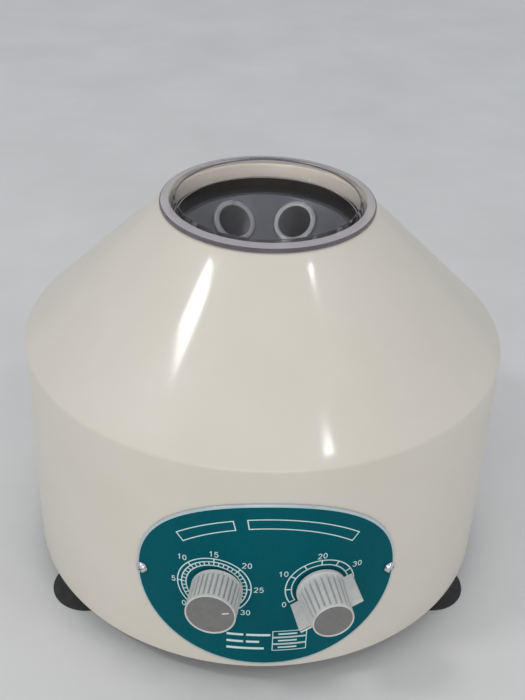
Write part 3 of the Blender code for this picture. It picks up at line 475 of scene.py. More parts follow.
def make_casing():
    """Spun sheet-metal cylinder and cone in one piece, enamelled outside, its inner faces dark with painted shade.
    """
    inner_r = CASING_R - WALL
    under_rim = RIM_Z - WALL
    collar_outer = COLLAR_R + WALL
    inner_shoulder_z = SHOULDER_Z - WALL * (hypot(1.0, CONE_SLOPE) - 1) / CONE_SLOPE
    corners = [
        (LIP_R, EDGE_Z, 0.5), (CASING_R, EDGE_Z, 1.6), (CASING_R, SHOULDER_Z, 2.5),
        (cone_radius(RIM_Z) + 0.2 * MM, RIM_Z, 2), (COLLAR_R, RIM_Z, 1),
        (COLLAR_R, RIM_Z - COLLAR_DEPTH, 0.6), (collar_outer, RIM_Z - COLLAR_DEPTH, 0.6),
        (collar_outer, under_rim, 0.5), (cone_radius(under_rim, WALL), under_rim, 0.5),
        (inner_r, inner_shoulder_z, 2), (inner_r, EDGE_Z + WALL, 0.8), (LIP_R, EDGE_Z + WALL, 0.5),
    ]
    profile = divided(rounded(corners, 5), 9 * MM)
    casing = place("casing_shell", revolved(profile, 180), ("casing_paint", "casing_inside_painted_shade"), upright())
    deep, proud = -12 * MM, 6 * MM
    holes = panel_holes(deep, proud)
    low, high = span("power_inlet", inlet_pose())
    window = box_outline(high.x - low.x - 3.4 * MM, high.y - low.y - 3.2 * MM)
    holes.append(cutter(prism(window, deep, proud), inlet_pose()))
    holes.append(drill(FUSE_HOLE_R, deep, proud, control_pose("fuse_cap_turn")))
    combine(casing, holes + foot_holes(EDGE_Z - 2 * MM, EDGE_Z + 4 * MM))
    paint_inside_shade(casing)
    settle(casing, "housing", "casing_paint", "casing")


def paint_inside_shade(casing):
    """Gives the faces behind the wall a dark brown: painted shade, where little light reaches inside the machine.
    """
    middle_r = COLLAR_R + WALL / 2
    for face in casing.data.polygons:
        centre = face.center
        outer = Vector((centre.x, centre.y, 0))
        facing_in = face.normal.dot(outer.normalized()) < -0.3
        hidden_top = face.normal.z < -0.3 and centre.z > EDGE_Z + 30 * MM
        behind_collar = middle_r < outer.length < COLLAR_R + 2 * WALL and centre.z < RIM_Z - WALL
        inner_side = outer.length > middle_r and (facing_in or hidden_top)
        face.material_index = 1 if inner_side or behind_collar else 0


def make_base_plate():
    """Flat steel disc with a rolled edge and six air holes under the fan."""
    radius = (base_high.x - base_low.x) / 2
    corners = [(0, base_low.z, 0), (radius, base_low.z, 0.8), (radius, base_high.z, 0.8), (0, base_high.z, 0)]
    profile = rounded(corners, closed=False)
    plate = place("base_disc", revolved(divided(profile, 20 * MM, False), 120), ("base_steel",), upright())
    low, high = base_low.z - 2 * MM, base_high.z + 2 * MM
    holes = foot_holes(low, high)
    air_holes, air_circle_r = 6, 22 * MM
    for number in range(air_holes):
        holes.append(drill(6 * MM, low, high, upright(2 * pi * number / air_holes, air_circle_r)))
    combine(plate, holes)
    settle(plate, "housing", "base_steel", "base_plate")


def foot_pose(name):
    low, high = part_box(f"foot_{name}")
    return Matrix.Translation(((low.x + high.x) / 2, (low.y + high.y) / 2, 0))


def foot_holes(low, high):
    return [drill(FOOT_SCREW_HOLE_R, low, high, foot_pose(name)) for name in FEET]


def make_feet():
    """Moulded suction feet with a flexible lip."""
    top = base_low.z - 0.3 * MM
    foot_r, hub_r = 20.5 * MM, 14 * MM
    corners = [
        (FOOT_SCREW_HOLE_R, top, 0.3), (hub_r, top, 1), (hub_r, top - 3.4 * MM, 0.8),
        (12.6 * MM, top - 4.8 * MM, 0.6), (14.8 * MM, 4.1 * MM, 2.5), (foot_r - 0.4 * MM, 1.3 * MM, 0.8),
        (foot_r, 0, 0.35), (17 * MM, 0, 0.5), (12.5 * MM, 2.4 * MM, 2),
        (FOOT_SCREW_HOLE_R, 3.4 * MM, 0.4),
    ]
    for name in FEET:
        foot = place(f"suction_foot_{name}", revolved(rounded(corners), 64), ("foot_rubber",), foot_pose(name))
        settle(foot, "housing", "foot_rubber", f"foot_{name}")


# ---------------- lid

def make_lid():
    """Moulded clear lid: a flange on the rim and a shallow well that drops into the neck."""
    under = lid_low.z
    flange_under = RIM_Z + 0.3 * MM
    edge_z = lid_high.z - 1.5 * MM
    well_r, rim_r, spigot_r = 47 * MM, 51.4 * MM, 49.2 * MM
    floor_top = under + 2.3 * MM
    corners = [
        (0, floor_top, 0), (well_r, floor_top, 2.6), (well_r + 0.8 * MM, lid_high.z - 0.2 * MM, 0.7),
        (well_r + 2 * MM, lid_high.z, 0.6), (rim_r, lid_high.z - 0.45 * MM, 0),
        (LID_R, edge_z, 0.9), (LID_R, flange_under, 0.5),
        (spigot_r + 0.4 * MM, flange_under, 0.8), (spigot_r, under, 1.6), (0, under, 0),
    ]
    profile = divided(rounded(corners, 6, closed=False), 6 * MM, closed=False)
    finishes = ("clear_lid", "lid_flange", "lid_edge_painted_shade", "lid_inner")
    lid = place("clear_lid", revolved(profile, 160), finishes, upright(), sharp=60)
    for face in lid.data.polygons:
        reach = hypot(face.center.x, face.center.y)
        # The outer edge and a thin ring at the well's edge take the dark painted shade.
        if reach > LID_R - 0.8 * MM or well_r + 0.7 * MM < reach < well_r + 1.3 * MM:
            face.material_index = 2
        elif reach > well_r + 1.3 * MM and face.center.z > flange_under - 0.2 * MM and face.normal.z > 0.1:
            face.material_index = 1 if reach > rim_r else 3
    lid.visible_shadow = False
    settle(lid, "lid", "clear_lid", "lid")


# ---------------- head, sleeves and nut

def tube_pose(number):
    """Pose of a sleeve: +Z points up out of its mouth, which leans in towards the spin axis."""
    turn = pi / 2 + 2 * pi * number / TUBE_COUNT
    return upright(turn, MOUTH_CIRCLE_R, MOUTH_Z) @ Matrix.Rotation(-TUBE_TILT, 4, "X")


def make_head():
    """Cast angle head, turned to a 45 degree dish with six holes for the sleeves."""
    low = head_low.z
    shoulder, boss_r = 148 * MM, 16 * MM
    outer_z = head_high.z - (HEAD_R - HEAD_RIM_R - 3 * MM)
    bore = 5.3 * MM
    corners = [
        (bore, HUB_TOP_Z, 0.4), (HUB_R, HUB_TOP_Z, 1.2), (HEAD_RIM_R, head_high.z, 0.6),
        (HEAD_RIM_R + 3 * MM, head_high.z, 0.8), (HEAD_R, outer_z, 2.5),
        (HEAD_R - (outer_z - shoulder), shoulder, 2), (boss_r, shoulder, 1), (boss_r, low, 0.6),
        (bore, low, 0.4),
    ]
    profile = divided(rounded(corners, 4), 8 * MM)
    head = place("tube_head", revolved(profile, 120), ("head_alloy",), upright())
    hole_r, seat_r = SLEEVE_R + 0.4 * MM, SLEEVE_FLANGE_R + 0.5 * MM
    top, seat, bottom = 12 * MM, -0.3 * MM, -70 * MM
    hole = [(0, top), (seat_r, top), (seat_r, seat), (hole_r, seat), (hole_r, bottom), (0, bottom)]
    combine(head, [cutter(revolved(hole, 56), tube_pose(number)) for number in range(TUBE_COUNT)])
    settle(head, "rotor", "head_alloy", "angle_head")


def make_sleeves():
    """Round-bottomed sleeves hanging by their flanges."""
    tip = -SLEEVE_LENGTH
    steps = [radians(-90 * step / 10) for step in range(11)]
    outer = [(SLEEVE_R * cos(a), tip + SLEEVE_R + SLEEVE_R * sin(a)) for a in steps[:-1]]
    inner = [(SLEEVE_BORE_R * cos(a), tip + SLEEVE_R + SLEEVE_BORE_R * sin(a)) for a in steps[-2::-1]]
    neck = rounded([
        (SLEEVE_BORE_R, SLEEVE_FLANGE - 6 * MM, 0), (SLEEVE_BORE_R, SLEEVE_FLANGE, 0.5),
        (SLEEVE_FLANGE_R, SLEEVE_FLANGE, 0.8), (SLEEVE_FLANGE_R, 0, 0.5), (SLEEVE_R, 0, 0.3),
        (SLEEVE_R, -8 * MM, 0),
    ], closed=False)
    profile = [(0, tip + SLEEVE_R - SLEEVE_BORE_R), *inner, *neck, *outer, (0, tip)]
    finishes = ("sleeve_plastic", "sleeve_bore_painted_shade")
    for number in range(TUBE_COUNT):
        sleeve = place(f"sleeve_{number + 1}", revolved(profile, 56), finishes, tube_pose(number))
        # Faces inside the bore take the darker finish: painted shade deep in the sleeve.
        for face in sleeve.data.polygons:
            inside = hypot(face.center.x, face.center.y) < SLEEVE_BORE_R + 0.05 * MM
            face.material_index = 1 if inside and face.center.z > tip + 0.5 * MM else 0
        settle(sleeve, "rotor", "sleeve_plastic", f"tube_sleeve_{number + 1}")


def make_rotor_nut():
    """Domed hexagonal nut, its corners turned round."""
    low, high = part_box("rotor_nut")
    hexagon = softened(prism(polygon(6, 8 * MM), low.z, low.z + 9 * MM), 0.5 * MM)
    nut = place("cap_nut", hexagon, ("nut_steel",), upright())
    top, foot, dome_r = high.z, low.z + 5 * MM, 6.6 * MM
    dome = rounded([
        (0, top, 0), (4.6 * MM, top - 0.6 * MM, 3), (dome_r, top - 4 * MM, 0.5), (dome_r, foot, 0),
        (0, foot, 0),
    ], 6, closed=False)
    combine(nut, [cutter(revolved(dome, 48), upright())], "UNION")
    combine(nut, [drill(4.3 * MM, low.z - 2 * MM, low.z + 9.3 * MM, upright())])
    settle(nut, "rotor", "chrome_fasteners", "rotor_nut")


# ---------------- panel

def wrapped(across, up, radius):
    """Point of a flat print wrapped on the wall: arc length to the right, and height."""
    turn = across / CASING_R
    return Vector((radius * sin(turn), -radius * cos(turn), up)) + AXIS


def oval(angle, half_width, half_height):
    """Point of the plate's rounded outline."""
    power = 2 / PLATE_POWER
    cosine, sine = cos(angle), sin(angle)
    return (
        half_width * copysign(abs(cosine) ** power, cosine),
        half_height * copysign(abs(sine) ** power, sine),
    )


def oval_sheet(half_width, half_height, rows):
    """A sheet with the plate's outline, wrapped on the wall. rows run (inset, radius) from back to face."""
    columns, rings_count = 96, 14
    made = bmesh.new()
    loops = []
    for inset, radius in rows:
        loop = []
        for step in range(columns):
            across, up = oval(2 * pi * step / columns, half_width - inset, half_height - inset)
            loop.append(made.verts.new(wrapped(across, PLATE_Z + up, radius)))
        loops.append(loop)
    for lower, upper in zip(loops, loops[1:]):
        bridge(made, lower, upper)
    for loop, (inset, radius) in ((loops[0], rows[0]), (loops[-1], rows[-1])):
        outer = loop
        for ring in range(1, rings_count):
            share = 1 - ring / rings_count
            row = []
            for step in range(columns):
                across, up = oval(2 * pi * step / columns, half_width - inset, half_height - inset)
                row.append(made.verts.new(wrapped(across * share, PLATE_Z + up * share, radius)))
            bridge(made, outer, row)
            outer = row
        middle = made.verts.new(wrapped(0, PLATE_Z, radius))
        for step in range(columns):
            made.faces.new((outer[step], outer[(step + 1) % columns], middle))
    return made


def bridge(made, lower, upper):
    count = len(lower)
    for step in range(count):
        after = (step + 1) % count
        made.faces.new((lower[step], lower[after], upper[after], upper[step]))


def panel_holes(low, high):
    """Cutters for the two control bushes and the plate's screws."""
    holes = [drill(BUSH_HOLE_R, low, high, control_pose(joint)) for joint in ("timer_turn", "speed_turn")]
    return holes + [drill(SCREW_HOLE_R, low, high, screw_pose(side)) for side in SIDES]


def make_panel():
    """Metal plate with a bare silver edge, and the teal field printed on it."""
    back, face = PLATE_FACE_R - 1 * MM, PLATE_FACE_R
    low, high = -6 * MM, 6 * MM
    rows = [(0, back), (0, face - 0.5 * MM), (0.12 * MM, face - 0.2 * MM), (0.45 * MM, face)]
    plate = place("panel_metal", oval_sheet(PLATE_HALF_WIDTH, PLATE_HALF_HEIGHT, rows), ("panel_metal",))
    combine(plate, panel_holes(low, high))
    settle(plate, "housing", "panel_print", "panel_plate")
    rows = [(0, face + 0.01 * MM), (0, face + PRINT_LIFT)]
    width, height = PLATE_HALF_WIDTH - PLATE_BORDER, PLATE_HALF_HEIGHT - PLATE_BORDER
    field = place("panel_field", oval_sheet(width, height, rows), ("panel_print",))
    combine(field, panel_holes(low, high))
    settle(field, "housing", "panel_print")


def print_from(name, source):
    """Turns flat print faces, laid out as (arc, height), into a thin layer on the teal field."""
    radius = PLATE_FACE_R + PRINT_LIFT + 0.01 * MM
    for item in bmesh.ops.extrude_face_region(source, geom=source.faces[:])["geom"]:
        if isinstance(item, bmesh.types.BMVert):
            item.co.z = 1.0
    for vertex in source.verts:
        lift = PRINT_LIFT if vertex.co.z > 0.5 else 0.0
        vertex.co = wrapped(vertex.co.x, vertex.co.y, radius + lift)
    layer = place(name, source, ("scale_print",), sharp=20)
    return settle(layer, "housing", "panel_print")


def scale_cells(source, centre, bands, marks, start, sweep, mark_width):
    """Polar grid of print cells: bands are (inner, outer, kind), and marks says which kinds each step fills."""
    grid = {}

    def corner(radius, angle):
        key = (round(radius * 1e7), round(angle * 1e7))
        if key not in grid:
            spot = (centre[0] + radius * cos(angle), centre[1] + radius * sin(angle), 0)
            grid[key] = source.verts.new(spot)
        return grid[key]

    count = len(marks) - 1
    middle_r = bands[len(bands) // 2][0]
    half = mark_width / middle_r / 2
    columns = []
    for index, kinds in enumerate(marks):
        turn = start + sweep * index / count
        columns.append((turn - half * copysign(1, sweep), turn + half * copysign(1, sweep), kinds))
        if index < count:
            begin = turn + half * copysign(1, sweep)
            end = start + sweep * (index + 1) / count - half * copysign(1, sweep)
            parts = max(1, round(abs(end - begin) / radians(3)))
            cells = [begin + (end - begin) * k / parts for k in range(parts + 1)]
            columns += [(a, b, ()) for a, b in zip(cells, cells[1:])]
    for begin, end, kinds in columns:
        for inner, outer, kind in bands:
            if kind == "ring" or kind in kinds:
                around = ((inner, begin), (outer, begin), (outer, end), (inner, end))
                source.faces.new([corner(radius, angle) for radius, angle in around])


def make_scale(name, side, radii, intervals, major_every, start, sweep, labels):
    """A dial's printed rings, its marks and the numbers round it."""
    line = 0.6 * MM
    centre = (side * DIAL_ARC, JOINTS["timer_turn"]["pos_m"][2])
    bands = []
    kinds = ("fine", "major")[2 - (len(radii) - 1):]
    for index, radius in enumerate(radii):
        bands.append((radius - line / 2, radius + line / 2, "ring"))
        if index + 1 < len(radii):
            bands.append((radius + line / 2, radii[index + 1] - line / 2, kinds[index]))
    marks = [("fine", "major") if step % major_every == 0 else ("fine",) for step in range(intervals + 1)]
    source = bmesh.new()
    mark_width = 0.58 * MM
    scale_cells(source, centre, bands, marks, radians(start), radians(sweep), mark_width)
    print_from(f"{name}_rings", source)
    for index, label in enumerate(labels):
        angle = radians(start + sweep * index / (len(labels) - 1))
        make_number(f"{name}_number_{label}", label, centre, radii[-1] + line / 2 + 0.8 * MM, angle)


def arc(x, y, across, up, start, end, steps=14):
    """Points of an arc round (x, y), with its angles in degrees."""
    turns = [radians(start + (end - start) * step / steps) for step in range(steps + 1)]
    return [(x + across * cos(turn), y + up * sin(turn)) for turn in turns]


def digit_strokes(digit):
    """Centre lines of a plain upright digit, one unit high."""
    if digit == "0":
        return [arc(0.32, 0.5, 0.27, 0.5, 90, 450, 28)]
    if digit == "1":
        return [[(0.14, 0.76), (0.38, 1.0), (0.38, 0.0)]]
    if digit == "2":
        return [arc(0.32, 0.72, 0.27, 0.28, 165, -25) + [(0.06, 0.0), (0.62, 0.0)]]
    if digit == "3":
        return [arc(0.30, 0.755, 0.25, 0.245, 160, -90), arc(0.30, 0.265, 0.29, 0.265, 90, -160)]
    if digit == "4":
        return [[(0.47, 0.0), (0.47, 1.0), (0.04, 0.30), (0.66, 0.30)]]
    return [[(0.57, 1.0), (0.14, 1.0), (0.09, 0.52)] + arc(0.31, 0.32, 0.28, 0.32, 128, -150)]


def ribbon(source, points, width):
    """A line of even width through the points of a stroke, with its corners mitred."""
    rows = []
    looped = dist(points[0], points[-1]) < 1e-9
    count = len(points) - 1 if looped else len(points)
    for index in range(count):
        here = Vector(points[index])
        before = Vector(points[index - 1] if looped or index else points[index])
        after = Vector(points[(index + 1) % count] if looped or index + 1 < count else points[index])
        way_in = (here - before).normalized() if (here - before).length else (after - here).normalized()
        way_out = (after - here).normalized() if (after - here).length else way_in
        along = (way_in + way_out).normalized()
        side = Vector((-along.y, along.x)) * (width / 2 / max(0.45, along.dot(way_in)))
        rows.append([source.verts.new((*(here + side * sign), 0)) for sign in (-1, 1)])
    for lower, upper in zip(rows, rows[1:] + rows[:1] if looped else rows[1:]):
        source.faces.new((lower[0], upper[0], upper[1], lower[1]))


def make_number(name, label, centre, radius, angle):
    """A printed number outside a dial, its near edge a set distance from the outer ring."""
    height, advance, width = 3.1 * MM, 0.86, 0.44 * MM
    source = bmesh.new()
    for place_in_row, digit in enumerate(label):
        for stroke in digit_strokes(digit):
            ribbon(source, [((x + place_in_row * advance) * height, y * height) for x, y in stroke], width)
    across = [vertex.co.x for vertex in source.verts]
    up = [vertex.co.y for vertex in source.verts]
    middle = ((max(across) + min(across)) / 2, (max(up) + min(up)) / 2)
    half = ((max(across) - min(across)) / 2, (max(up) - min(up)) / 2)
    reach = radius + half[0] * abs(cos(angle)) + half[1] * abs(sin(angle))
    for vertex in source.verts:
        vertex.co.x += centre[0] + reach * cos(angle) - middle[0]
        vertex.co.y += centre[1] + reach * sin(angle) - middle[1]
    print_from(name, source)


def band_frame(source, point, width, height, line, columns):
    """An outlined blank band: point(x, y) lays it out, x along it and y across it."""
    inside = [line + (width - 2 * line) * k / columns for k in range(1, columns)]
    xs = [0, line, *inside, width - line, width]
    ys = [-height / 2, -height / 2 + line, height / 2 - line, height / 2]
    grid = [[None] * len(ys) for _ in xs]
    for i, x in enumerate(xs):
        for j, y in enumerate(ys):
            grid[i][j] = source.verts.new((*point(x, y), 0))
    for i in range(len(xs) - 1):
        for j in range(3):
            if j != 1 or i in (0, len(xs) - 2):
                source.faces.new((grid[i][j], grid[i + 1][j], grid[i + 1][j + 1], grid[i][j + 1]))
    for vertex in [v for v in source.verts if not v.link_faces]:
        source.verts.remove(vertex)


def make_blank_bands():
    """Blank bands and cells where a maker would print a title and the machine's data."""
    arch_r = 73 * MM
    arch_z = PLATE_Z + 42.3 * MM - arch_r
    source = bmesh.new()
    for start, length in ((-46.5 * MM, 30 * MM), (-10.4 * MM, 56 * MM)):
        def arched(x, y, start=start):
            turn = (start + x) / arch_r
            return ((arch_r + y) * sin(turn), arch_z + (arch_r + y) * cos(turn))
        band_frame(source, arched, length, 6.2 * MM, 0.55 * MM, 16)
    print_from("title_bands", source)
    source = bmesh.new()
    left, bar = -19.4 * MM, 1.5 * MM
    for begin, end, up in ((0, 8.4, 39.6), (9.8, 22, 39.6), (0, 8.4, 34.7), (9.8, 16.5, 34.7), (0, 19, 29.9)):
        stops = [left + (begin + (end - begin) * step / 8) * MM for step in range(9)]
        ribbon(source, [(stop, up * MM) for stop in stops], bar)
    print_from("data_lines", source)
    source = bmesh.new()
    for up in (40.1 * MM, 35.3 * MM, 30.5 * MM):
        def cell(x, y, up=up):
            return (3.6 * MM + x, up + y)
        band_frame(source, cell, 17.6 * MM, 4.6 * MM, 0.45 * MM, 10)
        ribbon(source, [cell((3 + 1.2 * step) * MM, 0) for step in range(9)], 1.0 * MM)
    print_from("data_cells", source)


def screw_pose(side):
    low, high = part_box(f"plate_screw_{side}")
    middle = (low + high) / 2 - AXIS
    return outward(atan2(middle.x, -middle.y), middle.z)


def make_plate_screws():
    """Pan-head screws with a cross recess."""
    for side in SIDES:
        pose = screw_pose(side)
        low, high = span(f"plate_screw_{side}", pose)
        seat, head_r, shank_r = high.z - 2.1 * MM, 3.2 * MM, 1.6 * MM
        profile = rounded([
            (0, high.z, 0), (2.2 * MM, high.z - 0.1 * MM, 2.2), (head_r, seat + 0.3 * MM, 0.4),
            (head_r, seat, 0.15), (shank_r, seat, 0), (shank_r, low.z, 0.3), (0, low.z, 0),
        ], 6, closed=False)
        screw = place(f"cross_screw_{side}", revolved(profile, 48), ("chrome_fasteners",), pose)
        turned = pose @ Matrix.Rotation(radians(24 if side == "left" else 52), 4, "Z")
        outlines = (box_outline(3.6 * MM, 0.75 * MM), box_outline(0.75 * MM, 3.6 * MM))
        slots = [prism(outline, seat + 0.9 * MM, high.z + 2 * MM) for outline in outlines]
        combine(screw, [cutter(slot, turned) for slot in slots])
        settle(screw, "housing", "chrome_fasteners", f"plate_screw_{side}")


# ---------------- knobs

KNOB_FINISHES = ("knob_side", "knob_face", "knob_groove_painted_shade")


def ribs(count, depth, low, high, fade, share=0.55):
    """Radius change of a ribbed grip: full ribs between two heights, fading out at their ends."""
    def wobble(turn, radius, height):
        if not low < height < high:
            return radius
        end = min(1.0, (height - low) / fade, (high - height) / fade)
        phase = (turn * count / (2 * pi)) % 1.0
        ridge = 0.5 - 0.5 * cos(2 * pi * phase)
        groove = 1 - min(1.0, ridge / share) ** 0.7
        return radius - depth * groove * end
    return wobble


def hollow(face, back):
    """Cutter for the shaft bore and the recess over the nut, in a knob's back."""
    bore_r, recess_r = 3.3 * MM, 8.6 * MM
    bore_end, recess_end, outside = face - 4.6 * MM, back + 3.5 * MM, back - 2 * MM
    return revolved([
        (0, bore_end), (bore_r, bore_end), (bore_r, recess_end), (recess_r, recess_end), (recess_r, outside),
        (0, outside),
    ], 48)


def make_timer_knob():
    """Round ribbed knob with a dark satin face, a bright edge and a short painted pointer."""
    pose = control_pose("timer_turn")
    low, high = span("timer_knob", pose)
    back, face = low.z, high.z
    foot_r, face_r = 12.95 * MM, 12.5 * MM
    taper = (foot_r - face_r) / (face - back)

    def side_radius(height):
        return foot_r - taper * (height - back)

    heights = [back + 0.9 * MM + (face - back - 2.2 * MM) * k / 14 for k in range(15)]
    rim = rounded([
        (face_r + 0.03 * MM, face - 1.3 * MM, 0), (face_r, face, 0.4), (11.95 * MM, face, 0.15),
        (11.7 * MM, face - 0.4 * MM, 0.15), (0, face - 0.4 * MM, 0),
    ], closed=False)
    foot = rounded([(0, back, 0), (foot_r, back, 0.4), (foot_r, back + 0.8 * MM, 0)], closed=False)
    profile = foot + [(side_radius(height), height) for height in heights] + rim
    grip = ribs(30, 0.7 * MM, back + 1.0 * MM, face - 1.35 * MM, 0.8 * MM, 0.55)
    knob = place("timer_grip", revolved(profile, 360, grip), KNOB_FINISHES, pose, sharp=40)
    combine(knob, [cutter(hollow(face, back), pose)], sharp=40)
    paint_face(knob, face, 11.9 * MM)
    paint_groove_shade(knob, back + 1.4 * MM, face - 1.6 * MM, side_radius)
    settle(knob, "timer_control", "knob_plastic", "timer_knob")
    outline = box_outline(3.4 * MM, 0.65 * MM, 7.6 * MM)
    line = softened(prism(outline, face - 0.5 * MM, face - 0.3 * MM), 0.06 * MM, 1)
    pointer = place("timer_pointer", line, ("pointer_paint",), pose @ Matrix.Rotation(TIMER_POINTER, 4, "Z"))
    settle(pointer, "timer_control", "knob_plastic")


def paint_groove_shade(knob, low, high, ridge_radius):
    """Painted shade on the bottoms of a grip's grooves, well below its ridges."""
    shaded, core_r = 0.32 * MM, 9.2 * MM
    for item in knob.data.polygons:
        x, y, height = item.center
        deep = core_r < hypot(x, y) < ridge_radius(height) - shaded
        if low < height < high and abs(item.normal.z) < 0.5 and deep:
            item.material_index = 2


def paint_face(knob, face, radius):
    """The darker satin disc on a knob's face."""
    for item in knob.data.polygons:
        flat = item.normal.z > 0.9 and item.center.z > face - 0.8 * MM
        item.material_index = 1 if flat and hypot(item.center.x, item.center.y) < radius else 0


def make_speed_knob():
    """Ribbed knob on a flange, with two flat finger wings; the lower left one carries the painted pointer."""
    pose = control_pose("speed_turn")
    low, high = span("speed_knob", pose)
    back, face = low.z, high.z
    flange_top, flange_r = back + 2.2 * MM, 12.7 * MM
    core_low, core_high = 12.0 * MM, 10.35 * MM
    length = face - flange_top

    def core_radius(height):
        return core_low + (core_high - core_low) * (height - flange_top) / length

    heights = [flange_top + 0.3 * MM + (length - 1.4 * MM) * k / 14 for k in range(15)]
    side = [(core_radius(height), height) for height in heights]
    foot = rounded([
        (0, back, 0), (flange_r, back, 0.4), (flange_r, flange_top, 0.7),
        (core_low, flange_top, 0.15), (core_low, flange_top + 0.25 * MM, 0),
    ], closed=False)
    rim = rounded([
        (core_radius(face - 1.0 * MM), face - 1.0 * MM, 0), (core_high, face, 0.4), (9.85 * MM, face, 0.15),
        (9.6 * MM, face - 0.35 * MM, 0.15), (0, face - 0.35 * MM, 0),
    ], closed=False)
    grip = ribs(22, 0.7 * MM, flange_top + 0.4 * MM, face - 1.1 * MM, 0.9 * MM, 0.5)
    knob = place("speed_grip", revolved(foot + side + rim, 360, grip), KNOB_FINISHES, pose, sharp=40)
    turned = pose @ Matrix.Rotation(WING_ANGLE, 4, "Z")
    wing_top = 21 * MM
    wing = softened(prism(box_outline(34 * MM, 2.6 * MM), flange_top - 0.4 * MM, wing_top), 0.3 * MM)
    combine(knob, [cutter(wing, turned)], "UNION", 40)
    combine(knob, [cutter(hollow(face, back), pose)], sharp=40)
    paint_face(knob, face, 9.8 * MM)
    paint_groove_shade(knob, flange_top + 0.8 * MM, face - 1.4 * MM, core_radius)
    settle(knob, "speed_control", "knob_plastic", "speed_knob")
    # A white pointer strip, and beside it a thin dark strip: a painted shadow of a groove that is not modelled.
    for name, finish_name, y, width in (("pointer", "pointer_paint", -0.7 * MM, 0.95 * MM),
                                        ("pointer_painted_shadow", "black_plastic", 0.15 * MM, 0.4 * MM)):
        outline = box_outline(5.6 * MM, width, -13.9 * MM, y)
        strip = prism(outline, wing_top - 0.1 * MM, wing_top + 0.06 * MM)
        settle(place(f"speed_{name}", strip, (finish_name,), turned), "speed_control", "knob_plastic")


# ---------------- rear connections

def inlet_pose():
    low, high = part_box("power_inlet")
    return outward(pi, (low.z + high.z) / 2)


def make_inlet():
    """Moulded mains inlet: a bevelled flange, its socket with cut corners, and three flat pins."""
    pose = inlet_pose()
    low, high = span("power_inlet", pose)
    seat, face = 0.3 * MM, high.z
    width, height = high.x - low.x, high.y - low.y
    flange = softened(prism(box_outline(width, height), seat, face), 0.7 * MM, 3)
    inlet = place("mains_inlet", flange, ("black_plastic",), pose, sharp=50)
    body = prism(box_outline(27 * MM, 19.6 * MM), low.z, seat + 0.5 * MM)
    combine(inlet, [cutter(body, pose)], "UNION")
    half_x, half_y, chamfer = 12.1 * MM, 8.3 * MM, 4.2 * MM
    socket = [(-half_x, -half_y), (half_x, -half_y), (half_x, half_y - chamfer), (half_x - chamfer, half_y),
              (chamfer - half_x, half_y), (-half_x, half_y - chamfer)]
    floor = face - 16 * MM
    combine(inlet, [cutter(prism(socket, floor, face + 2 * MM), pose)])
    settle(inlet, "housing", "black_plastic", "power_inlet")
    for number, (x, y) in enumerate(((-7 * MM, -2.5 * MM), (0, 2.5 * MM), (7 * MM, -2.5 * MM))):
        blade = softened(prism(box_outline(2 * MM, 4 * MM, x, y), floor - 0.5 * MM, face - 5.2 * MM), 0.35 * MM)
        pin = place(f"inlet_pin_{number + 1}", blade, ("chrome_fasteners",), pose)
        settle(pin, "housing", "black_plastic")


def make_fuse():
    """Panel fuse holder's flange, and its bayonet cap with a ribbed edge and a slot."""
    pose = control_pose("fuse_cap_turn")
    low, high = span("fuse_holder", pose)
    bore_r, flange_r, body_r = 4.4 * MM, 8.2 * MM, 6 * MM
    profile = rounded([
        (0, low.z + 2 * MM, 0), (bore_r, low.z + 2 * MM, 0.2), (bore_r, high.z, 0.2), (flange_r, high.z, 0.6),
        (flange_r, 0.3 * MM, 0.2), (body_r, 0.3 * MM, 0.1), (body_r, low.z, 0.5), (0, low.z, 0),
    ], closed=False)
    holder = place("fuse_body", revolved(profile, 64), ("black_plastic",), pose)
    settle(holder, "housing", "black_plastic", "fuse_holder")
    low, high = span("fuse_cap", pose)
    seat = high.z - 3.4 * MM
    cap_r, stem_r = 7 * MM, 4.1 * MM
    corners = [
        (0, high.z, 0), (cap_r, high.z, 0.8), (cap_r, seat, 0.2), (stem_r, seat, 0.1), (stem_r, low.z, 0.4),
        (0, low.z, 0),
    ]
    grip = ribs(24, 0.35 * MM, seat + 0.3 * MM, high.z - 0.9 * MM, 0.3 * MM)
    profile = divided(rounded(corners, 5, closed=False), 0.5 * MM, closed=False)
    cap = place("fuse_knob", revolved(profile, 192, grip), ("black_plastic",), pose, sharp=45)
    slot = prism(box_outline(9 * MM, 1.4 * MM), high.z - 1.2 * MM, high.z + 2 * MM)
    combine(cap, [cutter(slot, pose)], sharp=45)
    settle(cap, "fuse_cap", "black_plastic", "fuse_cap")


# ---------------- pieces that keep their CAD shape

def finish_cad_nodes():
    """Gives each CAD node that still shows its procedural finish."""
    slots = {entry["node"]: entry["material_slot"] for entry in frame["record"]["subparts"]}
    for name, node in frame["nodes"].items():
        if node.hide_render:
            continue
        node.data.materials.clear()
        node.data.materials.append(FINISH[slots[name]])


# ---------------- studio

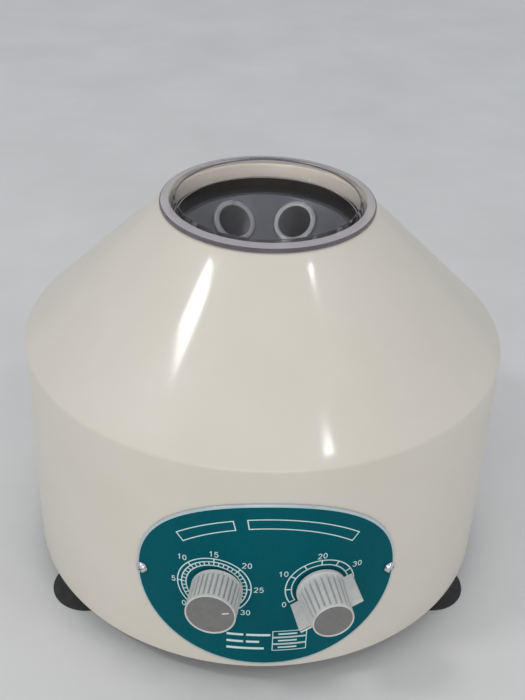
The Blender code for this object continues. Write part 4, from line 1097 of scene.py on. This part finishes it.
def area_light(name, azimuth, elevation, distance, size, power, colour=(1, 1, 1)):
    """Soft light aimed at the machine, placed by its bearing from the front and its height angle."""
    data = bpy.data.lights.new(name, "AREA")
    data.shape = "RECTANGLE"
    data.size, data.size_y = size
    data.energy = power
    data.color = colour
    light = bpy.data.objects.new(name, data)
    bpy.context.scene.collection.objects.link(light)
    turn, rise = radians(azimuth), radians(elevation)
    away = Vector((sin(turn) * cos(rise), -cos(turn) * cos(rise), sin(rise)))
    target = Vector((0, 0, 0.15))
    light.location = target + away * distance
    light.rotation_mode = "QUATERNION"
    light.rotation_quaternion = away.to_track_quat("Z", "Y")


def make_studio():
    bpy.context.scene.view_settings.view_transform = "Standard"
    world = bpy.data.worlds.new("studio")
    world.use_nodes = True
    background = world.node_tree.nodes["Background"]
    background.inputs["Color"].default_value = (0.93, 0.95, 1.0, 1.0)
    background.inputs["Strength"].default_value = 0.6
    bpy.context.scene.world = world
    area_light("key", -4, 22, 1.6, (1.3, 1.0), 4.7, (1.0, 0.99, 0.965))
    area_light("window", -65.6, 48.9, 1.7, (0.24, 0.20), 4.2)
    area_light("lamp_right", 52.7, 54.8, 1.7, (0.09, 0.05), 0.9)
    area_light("lamp_front", 33.5, 45.5, 1.7, (0.10, 0.07), 0.9)
    floor = bmesh.new()
    bmesh.ops.create_grid(floor, x_segments=10, y_segments=10, size=9.0)
    place("floor", floor, ("floor",))


def make_camera():
    """Camera looking down on the panel, placed by its bearing, distance and height from the spin axis."""
    bearing, distance, height = radians(-2.9), 520.1 * MM, 464 * MM
    pitch, roll = radians(32.98), radians(2.10)
    data = bpy.data.cameras.new("camera")
    data.sensor_width = 36
    data.lens = 56.57
    camera = bpy.data.objects.new("camera", data)
    bpy.context.scene.collection.objects.link(camera)
    stand = upright(bearing, distance, height)
    camera.matrix_world = stand @ Matrix.Rotation(pi / 2 - pitch, 4, "X") @ Matrix.Rotation(roll, 4, "Z")
    bpy.context.scene.camera = camera


make_camera()
make_finishes()
make_casing()
make_base_plate()
make_feet()
make_lid()
make_head()
make_sleeves()
make_rotor_nut()
make_panel()
make_scale("timer_scale", -1, (14.0 * MM, 16.3 * MM, 18.4 * MM), 30, 5, 225, -270,
           ("0", "5", "10", "15", "20", "25", "30"))
make_scale("speed_scale", 1, (14.4 * MM, 17.4 * MM), 8, 1, 210, -240, ("0", "10", "20", "30", "40"))
make_blank_bands()
make_plate_screws()
make_timer_knob()
make_speed_knob()
make_inlet()
make_fuse()
finish_cad_nodes()
make_studio()
